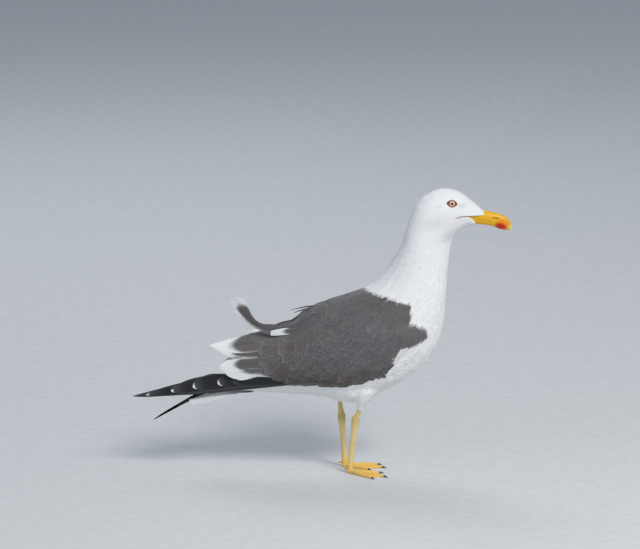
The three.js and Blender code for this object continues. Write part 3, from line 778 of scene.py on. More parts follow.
def open_eye(work, side):
    """Cuts the face open round an eye and turns its edge in as the lids. Gives the lids' vertices.

    Each vertex comes with whether it is bare and whether it is on the ring's pale rim.
    """
    middle, ahead, up, outward = eye_frame(side)
    radius = eye_radius()

    def measure(vert):
        """A vertex's angle round the eye, its distance from the axis and its height along it."""
        rel = np.array(vert.co) - middle
        a, b = rel @ ahead, rel @ up
        return math.atan2(b, a), math.hypot(a, b), rel @ outward

    def lid_height(angle):
        return np.sqrt(np.maximum((radius + LID_GAP) ** 2 - ring_reach(EYE_LID, angle) ** 2, 0))

    near = []
    for vert in work.verts:
        if abs(vert.co.x - middle[0]) > 14 * MM or (vert.co.y - MID) * side < 4 * MM:
            continue
        angle, reach, height = measure(vert)
        if height > -2 * MM and reach < ring_reach(EYE_FACE, angle):
            near.append(vert)
    bmesh.ops.delete(work, geom=near, context="VERTS")
    bmesh.ops.delete(work, geom=[v for v in work.verts if not v.link_faces], context="VERTS")
    loop = hole_edge(work, middle, side)
    angles, reaches, heights = np.array([measure(vert) for vert in loop]).T
    angles = np.unwrap(angles)
    turning = 1 if angles[-1] > angles[0] else -1
    even = angles[0] + turning * np.arange(len(loop)) * 2 * math.pi / len(loop)
    even += np.mean(angles - even)
    smooth_heights = np.mean([np.roll(heights, shift) for shift in range(-3, 4)], axis=0)
    previous, made = loop, []

    def add_ring(reach, height, angle, bare, on_rim):
        nonlocal previous
        ring = []
        for r, h, turn in zip(reach, height, angle):
            in_plane = ahead * (r * math.cos(turn)) + up * (r * math.sin(turn))
            ring.append(work.verts.new(middle + in_plane + outward * h))
        made.extend((vert, bare, on_rim) for vert in ring)
        for i in range(len(ring)):
            j = (i + 1) % len(ring)
            work.faces.new((previous[i], previous[j], ring[j], ring[i]))
        previous = ring

    for k in range(1, LID_RINGS + 1):
        t = k / LID_RINGS
        angle = angles + (even - angles) * min(1, 2 * t)
        shape = [np.interp(t, [0, 0.4, 1], stops) for stops in zip(EYE_FACE, EYE_RING, EYE_LID)]
        reach = reaches + (ring_reach(shape, angle) - reaches) * min(1, 3 * t)
        face = heights + (smooth_heights - heights) * min(1, 3 * t)
        bulge = LID_BULGE * math.sin(math.pi * np.clip((t - 0.3) / 0.7, 0, 1))
        groove = RING_GROOVE * math.exp(-(((t - 0.36) / 0.1) ** 2))
        ease = smoothstep(0, 1, t)
        height = face * (1 - ease) + lid_height(angle) * ease + bulge - groove
        add_ring(reach, height, angle, float(t > 0.36), float(abs(t - 0.4) < 0.08))
    for scale, sink in LID_TURNED_IN:
        add_ring(ring_reach(EYE_LID, even) * scale, lid_height(even) - sink, even, 1.0, 0.0)
    end = work.verts.new(middle + outward * 0.5 * MM)
    made.append((end, 1.0, 0.0))
    for i in range(len(previous)):
        work.faces.new((previous[i], previous[(i + 1) % len(previous)], end))
    return made


def flesh_and_bill():
    """The solids of flesh and the root of the bill, as one mesh."""
    flesh = joined_solids("flesh", [*FLESH, "eye_right", "eye_left"], SWELL)
    bill = joined_solids("bill_root", ["bill_upper", "bill_lower"], SWELL)
    work = bmesh.new()
    work.from_mesh(bill)
    cut_at = spot("bill_upper", BILL_ROOT, 0)[0]
    cut = bmesh.ops.bisect_plane(
        work,
        geom=work.verts[:] + work.edges[:] + work.faces[:],
        plane_co=(cut_at, 0, 0),
        plane_no=(1, 0, 0),
        clear_outer=True,
    )
    edges = [e for e in cut["geom_cut"] if isinstance(e, bmesh.types.BMEdge)]
    bmesh.ops.holes_fill(work, edges=edges)
    work.from_mesh(flesh)
    work.to_mesh(flesh)
    work.free()
    bpy.data.meshes.remove(bill)
    return flesh


def crease_fade(co, line):
    """From 0 at the rear end of the mouth's crease to 1 farther on."""
    return smoothstep(line[0, 0] - 1 * MM, line[0, 0] + 8 * MM, co[:, 0])


def crease_at(co, line):
    """How deep each place lies in the mouth's crease, from 0 to 1."""
    on_face = (co[:, 0] > line[0, 0] - 2 * MM) & (co[:, 0] < line[-1, 0] + 5 * MM)
    near = np.exp(-((to_segments(co[:, [0, 2]], line) / CREASE_WIDTH) ** 2))
    return near * on_face * crease_fade(co, line)


def make_skin():
    """One skin under the coat, with eyelids, the mouth's crease and the lie of the feathers."""
    mesh = remeshed("skin", flesh_and_bill(), settings().skin_voxel)
    relax(mesh, 14)
    # the head is finer than the body, and the face than the head
    head_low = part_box("head")[0]
    for up, ahead in FINER_FROM:
        co = coordinates(mesh)
        refine(mesh, (co[:, 2] > head_low.z + up) & (co[:, 0] > head_low.x + ahead))
    relax(mesh, 6)
    co = coordinates(mesh)
    share, _ = along_body(co[:, [0, 2]])
    in_bill = inside_by(co[:, [0, 2]], outline("bill_upper", BARE_BILL))
    depth = coat_depth(co, share) + SWELL
    depth += smoothstep(-1.2 * MM, 0.4 * MM, in_bill) * 1.2 * MM
    co = co - normals(mesh) * depth[:, None]
    crease_line = through(outline("bill_upper", MOUTH_CREASE), 24)
    co -= normals(mesh) * (crease_at(co, crease_line) * CREASE_DEPTH)[:, None]
    move_to(mesh, co)
    with edited(mesh) as work:
        lids = [mark for side in SIDES.values() for mark in open_eye(work, side)]
        bmesh.ops.recalc_face_normals(work, faces=work.faces)
        work.verts.index_update()
        lid_values = [(vert.index, bare, on_rim) for vert, bare, on_rim in lids]
    shade_smooth(mesh)
    dress_skin(mesh, lid_values, crease_line)
    unwrap(mesh)
    return new_object("skin", mesh)


def unwrap(mesh):
    """Unfolds the skin along the body and round it, for the map that the coat's patches share."""
    co = coordinates(mesh)
    share, direction = along_body(co[:, [0, 2]])
    last = BODY_STEPS - 1
    nearest = body_line()[np.clip((share * last).astype(int), 0, last)]
    across = np.stack([-direction[:, 1], direction[:, 0]], axis=1)
    rise = np.einsum("ij,ij->i", co[:, [0, 2]] - nearest, across)
    turn = np.arctan2(rise, np.abs(co[:, 1] - MID)) / math.pi + 0.5
    side = np.sign(co[:, 1] - MID)
    corners, faces = corner_verts(mesh), corner_faces(mesh)
    face_side = np.where(np.bincount(faces, weights=side[corners]) > 0, 1.0, -1.0)[faces]
    u = 0.01 + 0.98 * share[corners]
    v = 0.5 + face_side * (0.012 + 0.47 * np.clip(turn[corners], 0, 1))
    store_map(mesh, np.stack([u, v], axis=1))


def on_thighs(co):
    """How far each place belongs to a thigh, from 0 to 1."""
    thigh = np.zeros(len(co))
    for name, side in SIDES.items():
        low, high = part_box("thigh_" + name)
        near = smoothstep(high.z + 4 * MM, high.z - 8 * MM, co[:, 2])
        near *= np.abs(co[:, 0] - (low.x + high.x) / 2) < 22 * MM
        near *= np.sign(co[:, 1] - MID) == side
        thigh = np.maximum(thigh, near)
    return thigh


def lie_of(co, facing, share, heading, thigh):
    """The way the feathers lie: back along the body, down the thighs, and flat on the skin."""
    lie = np.stack([-heading[:, 0], np.zeros(len(co)), -heading[:, 1]], axis=1)
    on_wing = smoothstep(0.30, 0.42, share) * smoothstep(0.62, 0.5, share)
    lie[:, 2] -= 0.18 * on_wing
    lie = lie * (1 - thigh[:, None]) + THIGH_LIE * thigh[:, None]
    outward = np.sign(co[:, 1] - MID) * smoothstep(0, 20 * MM, np.abs(co[:, 1] - MID))
    lie[:, 1] += 0.25 * outward * smoothstep(0.80, 0.92, share)
    return unit(lie - facing * np.einsum("ij,ij->i", lie, facing)[:, None])


def near_eyes(co, lie):
    """Where a feather's root would lie on the bare ring or reach it, and how near the ring is."""
    ring, round_eye = np.zeros(len(co)), np.zeros(len(co))
    for side in SIDES.values():
        middle, ahead, up, out = eye_frame(side)
        for step in range(4):
            rel = co + lie * step * MM - middle
            reach = np.hypot(rel @ ahead, rel @ up)
            limit = ring_reach(EYE_RING, np.arctan2(rel @ up, rel @ ahead))
            ring = np.maximum(ring, (reach < limit * 1.06) & (rel @ out > 0))
        near = smoothstep(4 * MM, 1 * MM, reach - limit) * (rel @ out > 0)
        round_eye = np.maximum(round_eye, near)
    return ring, round_eye


def smudged_and_shaded(places):
    """How grey the white feathers are in each place of the side view: real smudges and painted shade."""
    haze = np.zeros(len(places))
    for node, ahead, up, length, height, strength in SMUDGES_AND_SHADE:
        from_middle = (places - np.array(spot(node, ahead, up))) / np.array([length, height])
        haze += strength * np.exp(-(from_middle**2).sum(axis=1))
    return haze


def shade_low_on_wing(co):
    """How near each place is to the wing's lower edge, where painted shade darkens it, from 0 to 1."""
    low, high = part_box("wing_right")
    up = (co[:, 2] - low.z) / (high.z - low.z)
    return smoothstep(0.46, 0.10, up) * smoothstep(high.x + 4 * MM, high.x - 60 * MM, co[:, 0])


def dress_skin(mesh, lid_values, crease_line):
    """Stores on the skin the lie of its feathers, its markings and its bare places."""
    co, facing = coordinates(mesh), normals(mesh)
    places = co[:, [0, 2]]
    share, heading = along_body(places)
    thigh = on_thighs(co)
    lie = lie_of(co, facing, share, heading, thigh)
    in_mantle = inside_by(places, outline("wing_right", MANTLE_EDGE))
    in_bill = inside_by(places, outline("bill_upper", BARE_BILL))
    from_crease = to_segments(places, crease_line)
    bare, rim = np.zeros(len(co)), np.zeros(len(co))
    for index, is_bare, on_rim in lid_values:
        bare[index], rim[index] = is_bare, on_rim
    ring, round_eye = near_eyes(co, lie)
    on_face = (co[:, 0] > crease_line[0, 0] - 1 * MM) & (co[:, 0] < crease_line[-1, 0] + 4 * MM)
    off_crease = (from_crease > 1.7 * MM * crease_fade(co, crease_line)) | ~on_face
    end_cap = (share < 0.06) & (facing[:, 0] < -0.55)
    found = {
        "lie": lie,
        "share": share,
        "thigh": thigh,
        "slate_by": in_mantle,
        "tone": smoothstep(-1 * MM, 1 * MM, in_mantle),
        # real grey smudges, and painted shade on the cheek, throat and nape
        "haze": smudged_and_shaded(places),
        # painted shade at the wing's lower edge
        "low": shade_low_on_wing(co),
        "bare": bare,
        "rim": rim,
        "crease": crease_at(co, crease_line),
        "gape": smoothstep(-0.6 * MM, 0.2 * MM, in_bill),
        "round_eye": np.maximum(round_eye, smoothstep(7 * MM, 3 * MM, from_crease)),
        "feathered": (1 - ring) * (in_bill <= -0.2 * MM) * off_crease * ~end_cap,
    }
    for name, values in found.items():
        store(mesh, name, values)


# ---- Vanes over the skin ----

# Kinds of vane that the coats repeat: their rows and columns of faces, and how frayed their tips are.
VANES = {"fine_vane": (3, 2, 0.06), "soft_vane": (4, 4, 0.07), "broad_vane": (6, 4, 0.04)}
UNLIKE_VANES = 4  # of each kind
COAT_SIZES = ("Spacing", "Length", "Width", "Lift", "Camber", "Thickness")
# The coats: their vane, material and slot, the sizes above in millimetres, and what is unusual.
COATS = {
    "coat_head": (
        "fine_vane", "white_feathers", "white_plumage", (1.0, 5.2, 2.3, 0.20, 0.04, 0.03), {"Barbs": 10.0},
    ),
    "coat_neck": (
        "soft_vane", "white_feathers", "white_plumage", (2.1, 13.0, 5.5, 0.45, 0.12, 0.07),
        {"Barbs": 18.0, "Crowding": 2.4},
    ),
    "coat_body": (
        "soft_vane", "white_feathers", "white_plumage", (3.2, 21.0, 9.0, 0.60, 0.20, 0.09),
        {"Barbs": 26.0, "Crowding": 2.1},
    ),
    "coat_thigh": (
        "fine_vane", "white_feathers", "white_plumage", (1.5, 9.0, 3.6, 0.70, 0.10, 0.05),
        {"Barbs": 14.0, "Stray": 0.10},
    ),
    "coat_mantle": (
        "broad_vane", "grey_feathers", "grey_plumage", (5.8, 30.0, 16.0, 1.15, 0.35, 0.12),
        {"Barbs": 30.0, "Crowding": 5.0},
    ),
}
NECK_SHARE, HEAD_SHARE = 0.58, 0.775  # where the neck's and the head's coats begin along the body
# What only the skin and the laying of a coat need, and a finished coat drops.
LAYING_ONLY = (
    "lie", "slate_by", "share", "thigh", "bare", "rim", "crease", "feathered", "cover", "size", "under",
    "deep", "patch", "up", "mark_shift", "at_end", "round_eye", "gape",
)


def leaf(v, root=0.45, widest=0.5, tip=2.2, end=0.42):
    """A feather's half width over its greatest, from its root to its tip."""
    near = root + (1 - root) * smoothstep(0, widest, v)
    return near * (1 - (1 - end) * np.clip((v - widest) / (1 - widest), 0, 1) ** tip)


def vane_grid(rows, columns):
    """A closed thin vane's vertices as across, along and under, and its faces."""
    v = 1 - (1 - np.linspace(0, 1, rows + 1)) ** 1.4
    u = np.linspace(-1, 1, columns + 1)
    top = np.array([(a, b, 0) for b in v for a in u])
    under = np.array([(0, b, 1) for b in v[1:-1]])
    wide, half = columns + 1, columns // 2
    last = rows * wide
    faces = []
    for r in range(rows):
        for c in range(columns):
            a = r * wide + c
            faces.append((a, a + 1, a + wide + 1, a + wide))
    # the under side hangs on a keel that runs from the root to the tip
    keel = [half] + [len(top) + i for i in range(len(under))] + [last + half]
    for r in range(1, rows - 1):
        left, right = r * wide, r * wide + columns
        faces.append((left, left + wide, keel[r + 1], keel[r]))
        faces.append((right, keel[r], keel[r + 1], right + wide))
    # the two ends, where the top row itself closes the shell
    faces.append((*range(half, -1, -1), wide, keel[1]))
    faces.append((columns, *range(columns - 1, half - 1, -1), keel[1], wide + columns))
    faces.append((last - wide, *range(last, last + half + 1), keel[rows - 1]))
    faces.append((last - 1, keel[rows - 1], *range(last + half, last + columns + 1)))
    return np.vstack([top, under]), faces


def frayed(rng, u, columns, fray):
    """How far each vertex of a vane is notched back, by its place across."""
    notch = rng.uniform(0, fray, columns + 1)
    return notch[np.clip(np.rint((u + 1) / 2 * columns).astype(int), 0, columns)]


def make_vane(name, rows, columns, seed, fray):
    """A vane of unit length and half width, lying along +Y, for the coat to repeat."""
    grid, faces = vane_grid(rows, columns)
    u, v, under = grid.T
    notch = frayed(np.random.default_rng(seed), u, columns, fray)
    y = v - smoothstep(0.55, 1.0, v) * (notch * (under == 0) + 0.16 * u**2)
    mesh = mesh_from(name, np.stack([u * leaf(v), y, np.zeros(len(u))], axis=1), faces)
    store(mesh, "vane_u", u)
    store(mesh, "vane_v", v)
    store(mesh, "under", under)
    # the outline is sharp, so that the face shades as one soft sheet
    on_rim = (np.abs(np.abs(u) - 1) < 1e-6) | (v < 1e-6) | (v > 1 - 1e-6)
    on_rim &= under == 0
    sharp = mesh.attributes.new("sharp_edge", "BOOLEAN", "EDGE")
    sharp.data.foreach_set("value", on_rim[edge_ends(mesh)].all(axis=1))
    return bpy.data.objects.new(name, mesh)


def vane_set(name):
    """A few unlike vanes of one kind, in a collection."""
    if name in bpy.data.collections:
        return bpy.data.collections[name]
    rows, columns, fray = VANES[name]
    kinds = bpy.data.collections.new(name)
    for i in range(UNLIKE_VANES):
        kinds.objects.link(make_vane(f"{name}_{i}", rows, columns, settings().seed + i, fray))
    return kinds


def coat_tree():
    """Geometry nodes that lay vanes over the skin, along its lie, each tip over the next root."""
    if "feather coat" in bpy.data.node_groups:
        return bpy.data.node_groups["feather coat"]
    sizes = {
        "Spacing": 0.006, "Crowding": 1.6, "Length": 0.022, "Width": 0.013, "Lift": 0.003,
        "Camber": 0.0006, "Thickness": 0.0002, "Stray": 0.08, "Barbs": 30.0,
    }
    n, given, result = new_group(
        "feather coat",
        "GeometryNodeTree",
        [
            ("Geometry", "Geometry", None),
            ("Vanes", "Collection", None),
            ("Material", "Material", None),
            *[(name, "Float", value) for name, value in sizes.items()],
            ("Seed", "Int", 1),
        ],
        [("Geometry", "Geometry")],
    )

    def named(name, kind="FLOAT"):
        return n.get("GeometryNodeInputNamedAttribute", "Attribute", {"Name": name}, data_type=kind)

    def random(low, high, seed_add):
        inputs = {2: low, 3: high, "Seed": given["Seed"] + float(seed_add)}
        return n.get("FunctionNodeRandomValue", 1, inputs, data_type="FLOAT")

    def keep(geometry, name, value, kind="FLOAT", domain="POINT"):
        inputs = {"Geometry": geometry, "Name": name, "Value": value}
        return n.get("GeometryNodeStoreNamedAttribute", "Geometry", inputs, data_type=kind, domain=domain)

    def on_skin(value, place, kind="FLOAT_VECTOR"):
        inputs = {"Mesh": given["Geometry"], "Value": value, "Sample Position": place}
        return n.get("GeometryNodeSampleNearestSurface", "Value", inputs, data_type=kind)

    # roots on the skin, no two nearer than the spacing
    spacing, size = given["Spacing"], named("size")
    roots = {
        "Mesh": given["Geometry"],
        "Distance Min": spacing,
        "Density Max": given["Crowding"] / (spacing * spacing),
        "Density Factor": named("cover"),
        "Seed": given["Seed"],
    }
    scatter = n.add("GeometryNodeDistributePointsOnFaces", roots, distribute_method="POISSON")
    points, normal = scatter.outputs["Points"], scatter.outputs["Normal"]
    carried = {
        "tint": random(0.0, 1.0, 4),
        "mark_shift": random(-1.2 * MM, 1.2 * MM, 3),
        "at_end": n.maths("LESS_THAN", named("share"), 0.05),
        "barbs": given["Barbs"],
        # carries worn brown for dark feathers, and real smudges and painted shade for white ones
        "haze": named("haze"),
        # painted shade low on the wing
        "low": named("low"),
        "deep": random(-0.08, 0.08, 5),
    }
    for name, value in carried.items():
        points = keep(points, name, value)
    points = keep(points, "up", normal, "FLOAT_VECTOR")
    points = keep(points, "patch", named(MAP, "FLOAT_VECTOR"), "FLOAT_VECTOR")
    # a vane on each root, turned along the lie
    stray = n.combine(random(-1, 1, 6), random(-1, 1, 7), random(-1, 1, 8))
    stray = n.vectors("SCALE", stray, given["Stray"])
    lie = n.vectors("ADD", named("lie", "FLOAT_VECTOR"), stray)
    axes = {"Primary Axis": normal, "Secondary Axis": lie}
    turned = n.get("FunctionNodeAxesToRotation", "Rotation", axes, primary_axis="Z", secondary_axis="Y")
    length = given["Length"] * size * random(0.86, 1.14, 1)
    width = given["Width"] * size * random(0.9, 1.1, 2)
    kinds = {"Collection": given["Vanes"], "Separate Children": True, "Reset Children": True}
    repeated = {
        "Points": points,
        "Instance": n.get("GeometryNodeCollectionInfo", "Instances", kinds),
        "Pick Instance": True,
        "Rotation": turned,
        "Scale": n.combine(width * 0.5, length, 1.0),
    }
    vanes = n.get("GeometryNodeInstanceOnPoints", "Instances", repeated)
    laid = n.get("GeometryNodeRealizeInstances", "Geometry", {"Geometry": vanes})
    # each vane bends to the skin under it, higher towards its tip
    place = n.get("GeometryNodeInputPosition", "Position")
    source = {0: given["Geometry"], "Source Position": place}
    nearest = n.get("GeometryNodeProximity", "Position", source, target_element="FACES")
    facing = on_skin(n.get("GeometryNodeInputNormal", "Normal"), place)
    across, along = named("vane_u"), named("vane_v")
    rise = given["Lift"] * (along + named("deep"))
    sag = given["Camber"] * (across * across)
    height = (rise - sag - given["Thickness"] * named("under")) * size
    up = named("up", "FLOAT_VECTOR")
    followed = n.vectors("ADD", nearest, n.vectors("SCALE", facing, height))
    free = n.vectors("ADD", place, n.vectors("SCALE", up, height))
    # at the end of the body, a vane that reaches past the skin's edge stays straight
    over_skin = n.ramp(n.vectors("DOT_PRODUCT", up, facing), 0.25, 0.55)
    over_skin = n.larger(over_skin, 1.0 - named("at_end"))
    bent = n.get("ShaderNodeMix", 1, {0: over_skin, 4: free, 5: followed}, data_type="VECTOR")
    laid = n.get("GeometryNodeSetPosition", "Geometry", {"Geometry": laid, "Position": bent})
    # the markings at each place, and a small patch of the skin's map at the root's place
    slate_by = on_skin(named("slate_by"), place, "FLOAT") + named("mark_shift")
    laid = keep(laid, "tone", n.ramp(slate_by, -0.5 * MM, 0.5 * MM))
    in_patch = n.combine(across * 0.0015, (along - 0.5) * 0.003)
    patch = n.vectors("ADD", named("patch", "FLOAT_VECTOR"), in_patch)
    laid = keep(laid, MAP, patch, "FLOAT2", "CORNER")
    finished = {"Geometry": laid, "Material": given["Material"]}
    n.plug(n.get("GeometryNodeSetMaterial", "Geometry", finished), result["Geometry"])
    return n.tree


def lay_coat(name, cover, size_of, **changed):
    """A coat on the part of the skin that cover gives, with its vanes' size over the usual one."""
    vane, feathers, slot, sizes, unusual = COATS[name]
    material = plumage(feathers)
    base = bpy.data.objects["skin"].data.copy()
    base.materials.clear()
    store(base, "cover", cover)
    store(base, "size", size_of)
    source = new_object(name + "_source", base)
    modifier = source.modifiers.new("Coat", "NODES")
    modifier.node_group = coat_tree()
    values = {
        "Vanes": vane_set(vane),
        "Material": material,
        "Seed": settings().seed,
        "Crowding": 1.6,
        "Stray": 0.08,
        **{label: value * MM for label, value in zip(COAT_SIZES, sizes)},
        **unusual,
        **changed,
    }
    for item in modifier.node_group.interface.items_tree:
        if item.in_out == "INPUT" and item.name in values:
            modifier[item.identifier] = values[item.name]
    mesh = evaluated_mesh(source)
    mesh.name = name
    drop(source)
    for spare in LAYING_ONLY:
        if spare in mesh.attributes:
            mesh.attributes.remove(mesh.attributes[spare])
    return finish_piece(new_object(name, mesh), material, slot)


def skin_values(*names):
    mesh = bpy.data.objects["skin"].data
    return [numbers(mesh.attributes[name].data, "value", kind=np.float32) for name in names]


# ---- Long feathers, laid one by one ----

SWEEP = 2 * MM  # step of the map of a surface's reach
REACH_MARGIN = 16 * MM  # of that map, round the solids
MARKS = ("tone", "tint", "pale_tip", "pale_edge", "reach", "barbs", "haze", "low")
BARB_STEP = 1.1 * MM


def solids_tree(nodes):
    verts, faces = [], []
    for node in nodes:
        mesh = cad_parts[node].data
        faces += [[len(verts) + i for i in face.vertices] for face in mesh.polygons]
        verts += [vert.co.copy() for vert in mesh.vertices]
    return BVHTree.FromPolygons(verts, faces)


def spread_mean(values, weights):
    """The weighted mean of each cell of a map with its eight neighbours, and the weight found there."""
    total, weight = np.zeros_like(values), np.zeros_like(values)
    padded, padded_weight = np.pad(values * weights, 1, mode="edge"), np.pad(weights, 1, mode="edge")
    rows, columns = values.shape
    for i in range(3):
        for j in range(3):
            total += padded[i : i + rows, j : j + columns]
            weight += padded_weight[i : i + rows, j : j + columns]
    return total / np.maximum(weight, 1e-9), weight


class Reach:
    """How far some solids reach in one direction, smoothly, as seen along that direction."""

    def __init__(self, nodes, axis, side, passes, base=0.0):
        self.axis, self.side, self.base = axis, side, base
        self.plane = [i for i in range(3) if i != axis]
        boxes = [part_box(node) for node in nodes]
        low = np.min([tuple(box[0]) for box in boxes], axis=0) - REACH_MARGIN
        high = np.max([tuple(box[1]) for box in boxes], axis=0) + REACH_MARGIN
        self.first = low[self.plane]
        counts = ((high - low)[self.plane] / SWEEP).astype(int) + 1
        tree = solids_tree(nodes)
        away, place = [0.0, 0.0, 0.0], [0.0, 0.0, 0.0]
        away[axis], place[axis] = -side, base + side * 0.5
        values, known = np.zeros(counts), np.zeros(counts)
        for i, j in np.ndindex(*counts):
            place[self.plane[0]], place[self.plane[1]] = self.first + (i * SWEEP, j * SWEEP)
            hit = tree.ray_cast(Vector(place), Vector(away))[0]
            if hit is not None and (hit[axis] - base) * side > 0:
                values[i, j], known[i, j] = (hit[axis] - base) * side, 1
        # the reach spreads a little past the solids' outline, and is then smoothed
        for _ in range(12):
            near, weight = spread_mean(values, known)
            values = np.where((known == 0) & (weight > 0), near, values)
            known = np.where(weight > 0, 1.0, known)
        for _ in range(passes):
            values = spread_mean(values, np.ones_like(values))[0]
        self.values = values

    def at(self, flat):
        cell = (flat - self.first) / SWEEP
        cell = np.clip(cell, 0, np.array(self.values.shape) - 1.001)
        i, j = cell.astype(int).T
        s, t = (cell - cell.astype(int)).T
        v = self.values
        near = (1 - t) * v[i, j] + t * v[i, j + 1]
        far = (1 - t) * v[i + 1, j] + t * v[i + 1, j + 1]
        return (1 - s) * near + s * far

    def place(self, flat, inset):
        """Places on the surface, or under it by inset, for places in the view."""
        found = np.empty((len(flat), 3))
        found[:, self.plane] = flat
        found[:, self.axis] = self.base + self.side * np.maximum(self.at(flat) - inset, 0.2 * MM)
        return found


class Plumes:
    """Gathers closed thin feathers and makes one mesh of them."""

    def __init__(self, rows, columns):
        self.columns = columns
        self.grid, self.faces = vane_grid(rows, columns)
        self.verts, self.marks = [], []

    def add(
        self, place, middle, half, inset, thick=0.30 * MM, camber=0.30 * MM, tilt=0.0, fray=0.6 * MM,
        arc=0.9, **marks,
    ):
        """A feather along a line in a view, with its half width and inset from root to tip."""
        u, v, under = self.grid.T
        steps = np.linspace(0, 1, len(middle))
        heading = unit(np.gradient(middle, axis=0))
        at = np.stack([np.interp(v, steps, middle[:, i]) for i in range(2)], axis=1)
        ahead = unit(np.stack([np.interp(v, steps, heading[:, i]) for i in range(2)], axis=1))
        across = np.stack([-ahead[:, 1], ahead[:, 0]], axis=1) * np.sign(-ahead[:, :1] + 1e-9)
        half = np.interp(v, steps, half)
        rng = np.random.default_rng(settings().seed + len(self.verts))
        notch = frayed(rng, u, self.columns, fray)
        cut_back = smoothstep(0.75, 1, v) * (notch * (under == 0) + arc * half * u**2)
        flat = at + across * (u * half)[:, None] - ahead * cut_back[:, None]
        deep = np.interp(v, np.linspace(0, 1, len(inset)), inset) + camber * u**2 + tilt * u * MM
        deep = deep + under * thick * (0.35 + 0.65 * np.sin(np.pi * np.clip(v, 0.02, 0.98)))
        length = np.linalg.norm(np.diff(middle, axis=0), axis=1).sum()
        self.verts.append(place(flat, deep))
        self.marks.append({"tint": rng.uniform(), "barbs": length / BARB_STEP, **marks})

    def build(self, name):
        each, count = len(self.grid), len(self.verts)
        every = [tuple(k * each + i for i in face) for k in range(count) for face in self.faces]
        mesh = mesh_from(name, np.concatenate(self.verts), every)
        store(mesh, "vane_u", np.tile(self.grid[:, 0], count))
        store(mesh, "vane_v", np.tile(self.grid[:, 1], count))
        for mark in MARKS:
            store(mesh, mark, np.repeat([marks.get(mark, 0.0) for marks in self.marks], each))
        self.unfold(mesh)
        with edited(mesh) as work:
            bmesh.ops.recalc_face_normals(work, faces=work.faces)
            for edge in work.edges:
                if len(edge.link_faces) == 2 and edge.calc_face_angle(0) > 0.9:
                    edge.smooth = False
        return new_object(name, mesh)

    def unfold(self, mesh):
        """Gives each feather its own square of the map, its face on one half, its back on the other."""
        u, v, under = self.grid.T
        count = len(self.verts)
        across = math.ceil(math.sqrt(count))
        corners = [(u[i], v[i], float(under[list(face)].any())) for face in self.faces for i in face]
        cell = np.repeat(np.arange(count), len(corners))
        a, b, back = np.tile(corners, (count, 1)).T
        left = cell % across + 0.03 + 0.48 * back + 0.44 * (a + 1) / 2
        low = cell // across + 0.03 + 0.94 * b
        store_map(mesh, np.stack([left, low], axis=1) / across)


def slices(node, count=60):
    """A solid's lowest and highest reach across its length, as seen from the side."""
    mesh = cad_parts[node].data
    a, b = coordinates(mesh)[edge_ends(mesh)].transpose(1, 0, 2)
    low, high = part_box(node)
    found = []
    for x in np.linspace(low.x + 0.05 * MM, high.x - 0.05 * MM, count):
        crossing = (a[:, 0] - x) * (b[:, 0] - x) <= 0
        p, q = a[crossing], b[crossing]
        t = (x - p[:, 0]) / np.where(q[:, 0] == p[:, 0], 1, q[:, 0] - p[:, 0])
        up = (p + (q - p) * np.clip(t, 0, 1)[:, None])[:, 2]
        found.append((x, up.min(), up.max()))
    return np.array(found)


# The wing's longest coverts by their tips: shares of the wing's box, and the slope in degrees.
COVERT_TIPS = [
    (0.046, 0.64, 17), (0.034, 0.48, 27), (0.046, 0.32, 33), (0.079, 0.17, 34), (0.144, 0.085, 30),
    (0.235, 0.050, 24), (0.337, 0.045, 19), (0.448, 0.050, 16), (0.563, 0.090, 15), (0.600, 0.130, 17),
]
# Rows of coverts: how far they are drawn back, their count, length and width, inset and haze.
COVERT_ROWS = [
    (0, 11, 84, 27, (2.4, 0.4), 0.80), (30, 11, 64, 24, (2.4, 0.1), 0.55), (54, 12, 46, 20, (2.4, 0.0), 0.25),
]
# The line of the back from the shoulders to the tertials, as shares of the trunk's box.
BACK_LINE = [(0.470, 0.755), (0.359, 0.690), (0.285, 0.618), (0.191, 0.545), (0.120, 0.500)]
STREAKS = 9  # narrow feathers under that line
STREAK_STEP = 3.0 * MM
# Blades of a group of flight feathers: the tip's share of the group's length and height, the lower and
# upper edge of the band that it fills at its root and tip, its inset in millimetres, and its white
# tip and edge.
TERTIALS = [
    (0.80, 0.06, (0.00, 0.00), (0.60, 0.40), 2.6, 0.10, 0.12),
    (0.90, 0.16, (0.05, 0.00), (0.75, 0.55), 2.0, 0.17, 0.16),
    (0.96, 0.34, (0.25, 0.05), (0.90, 0.78), 1.4, 0.22, 0.10),
    (1.00, 0.60, (0.50, 0.20), (1.00, 1.00), 0.8, 0.27, 0.06),
    (0.57, 1.04, (0.86, 0.90), (1.03, 1.11), 0.9, 0.42, 0.00),
    (0.50, 0.84, (0.70, 0.62), (1.00, 0.98), 0.2, 0.00, 0.00),
]
SECONDARIES = [
    (0.62, 0.10, (0.00, 0.00), (0.60, 0.50), 2.8, 0.70, 0.20),
    (0.80, 0.14, (0.00, 0.00), (0.66, 0.58), 2.4, 0.62, 0.20),
    (0.92, 0.24, (0.05, 0.05), (0.74, 0.66), 2.0, 0.50, 0.20),
    (0.99, 0.40, (0.20, 0.20), (0.86, 0.76), 1.5, 0.34, 0.20),
    (1.00, 0.72, (0.42, 0.48), (1.00, 1.00), 1.0, 0.24, 0.16),
]
PRIMARY_TIPS = [1.0, 0.915, 0.755, 0.615, 0.455, 0.36]  # shares of the group's length


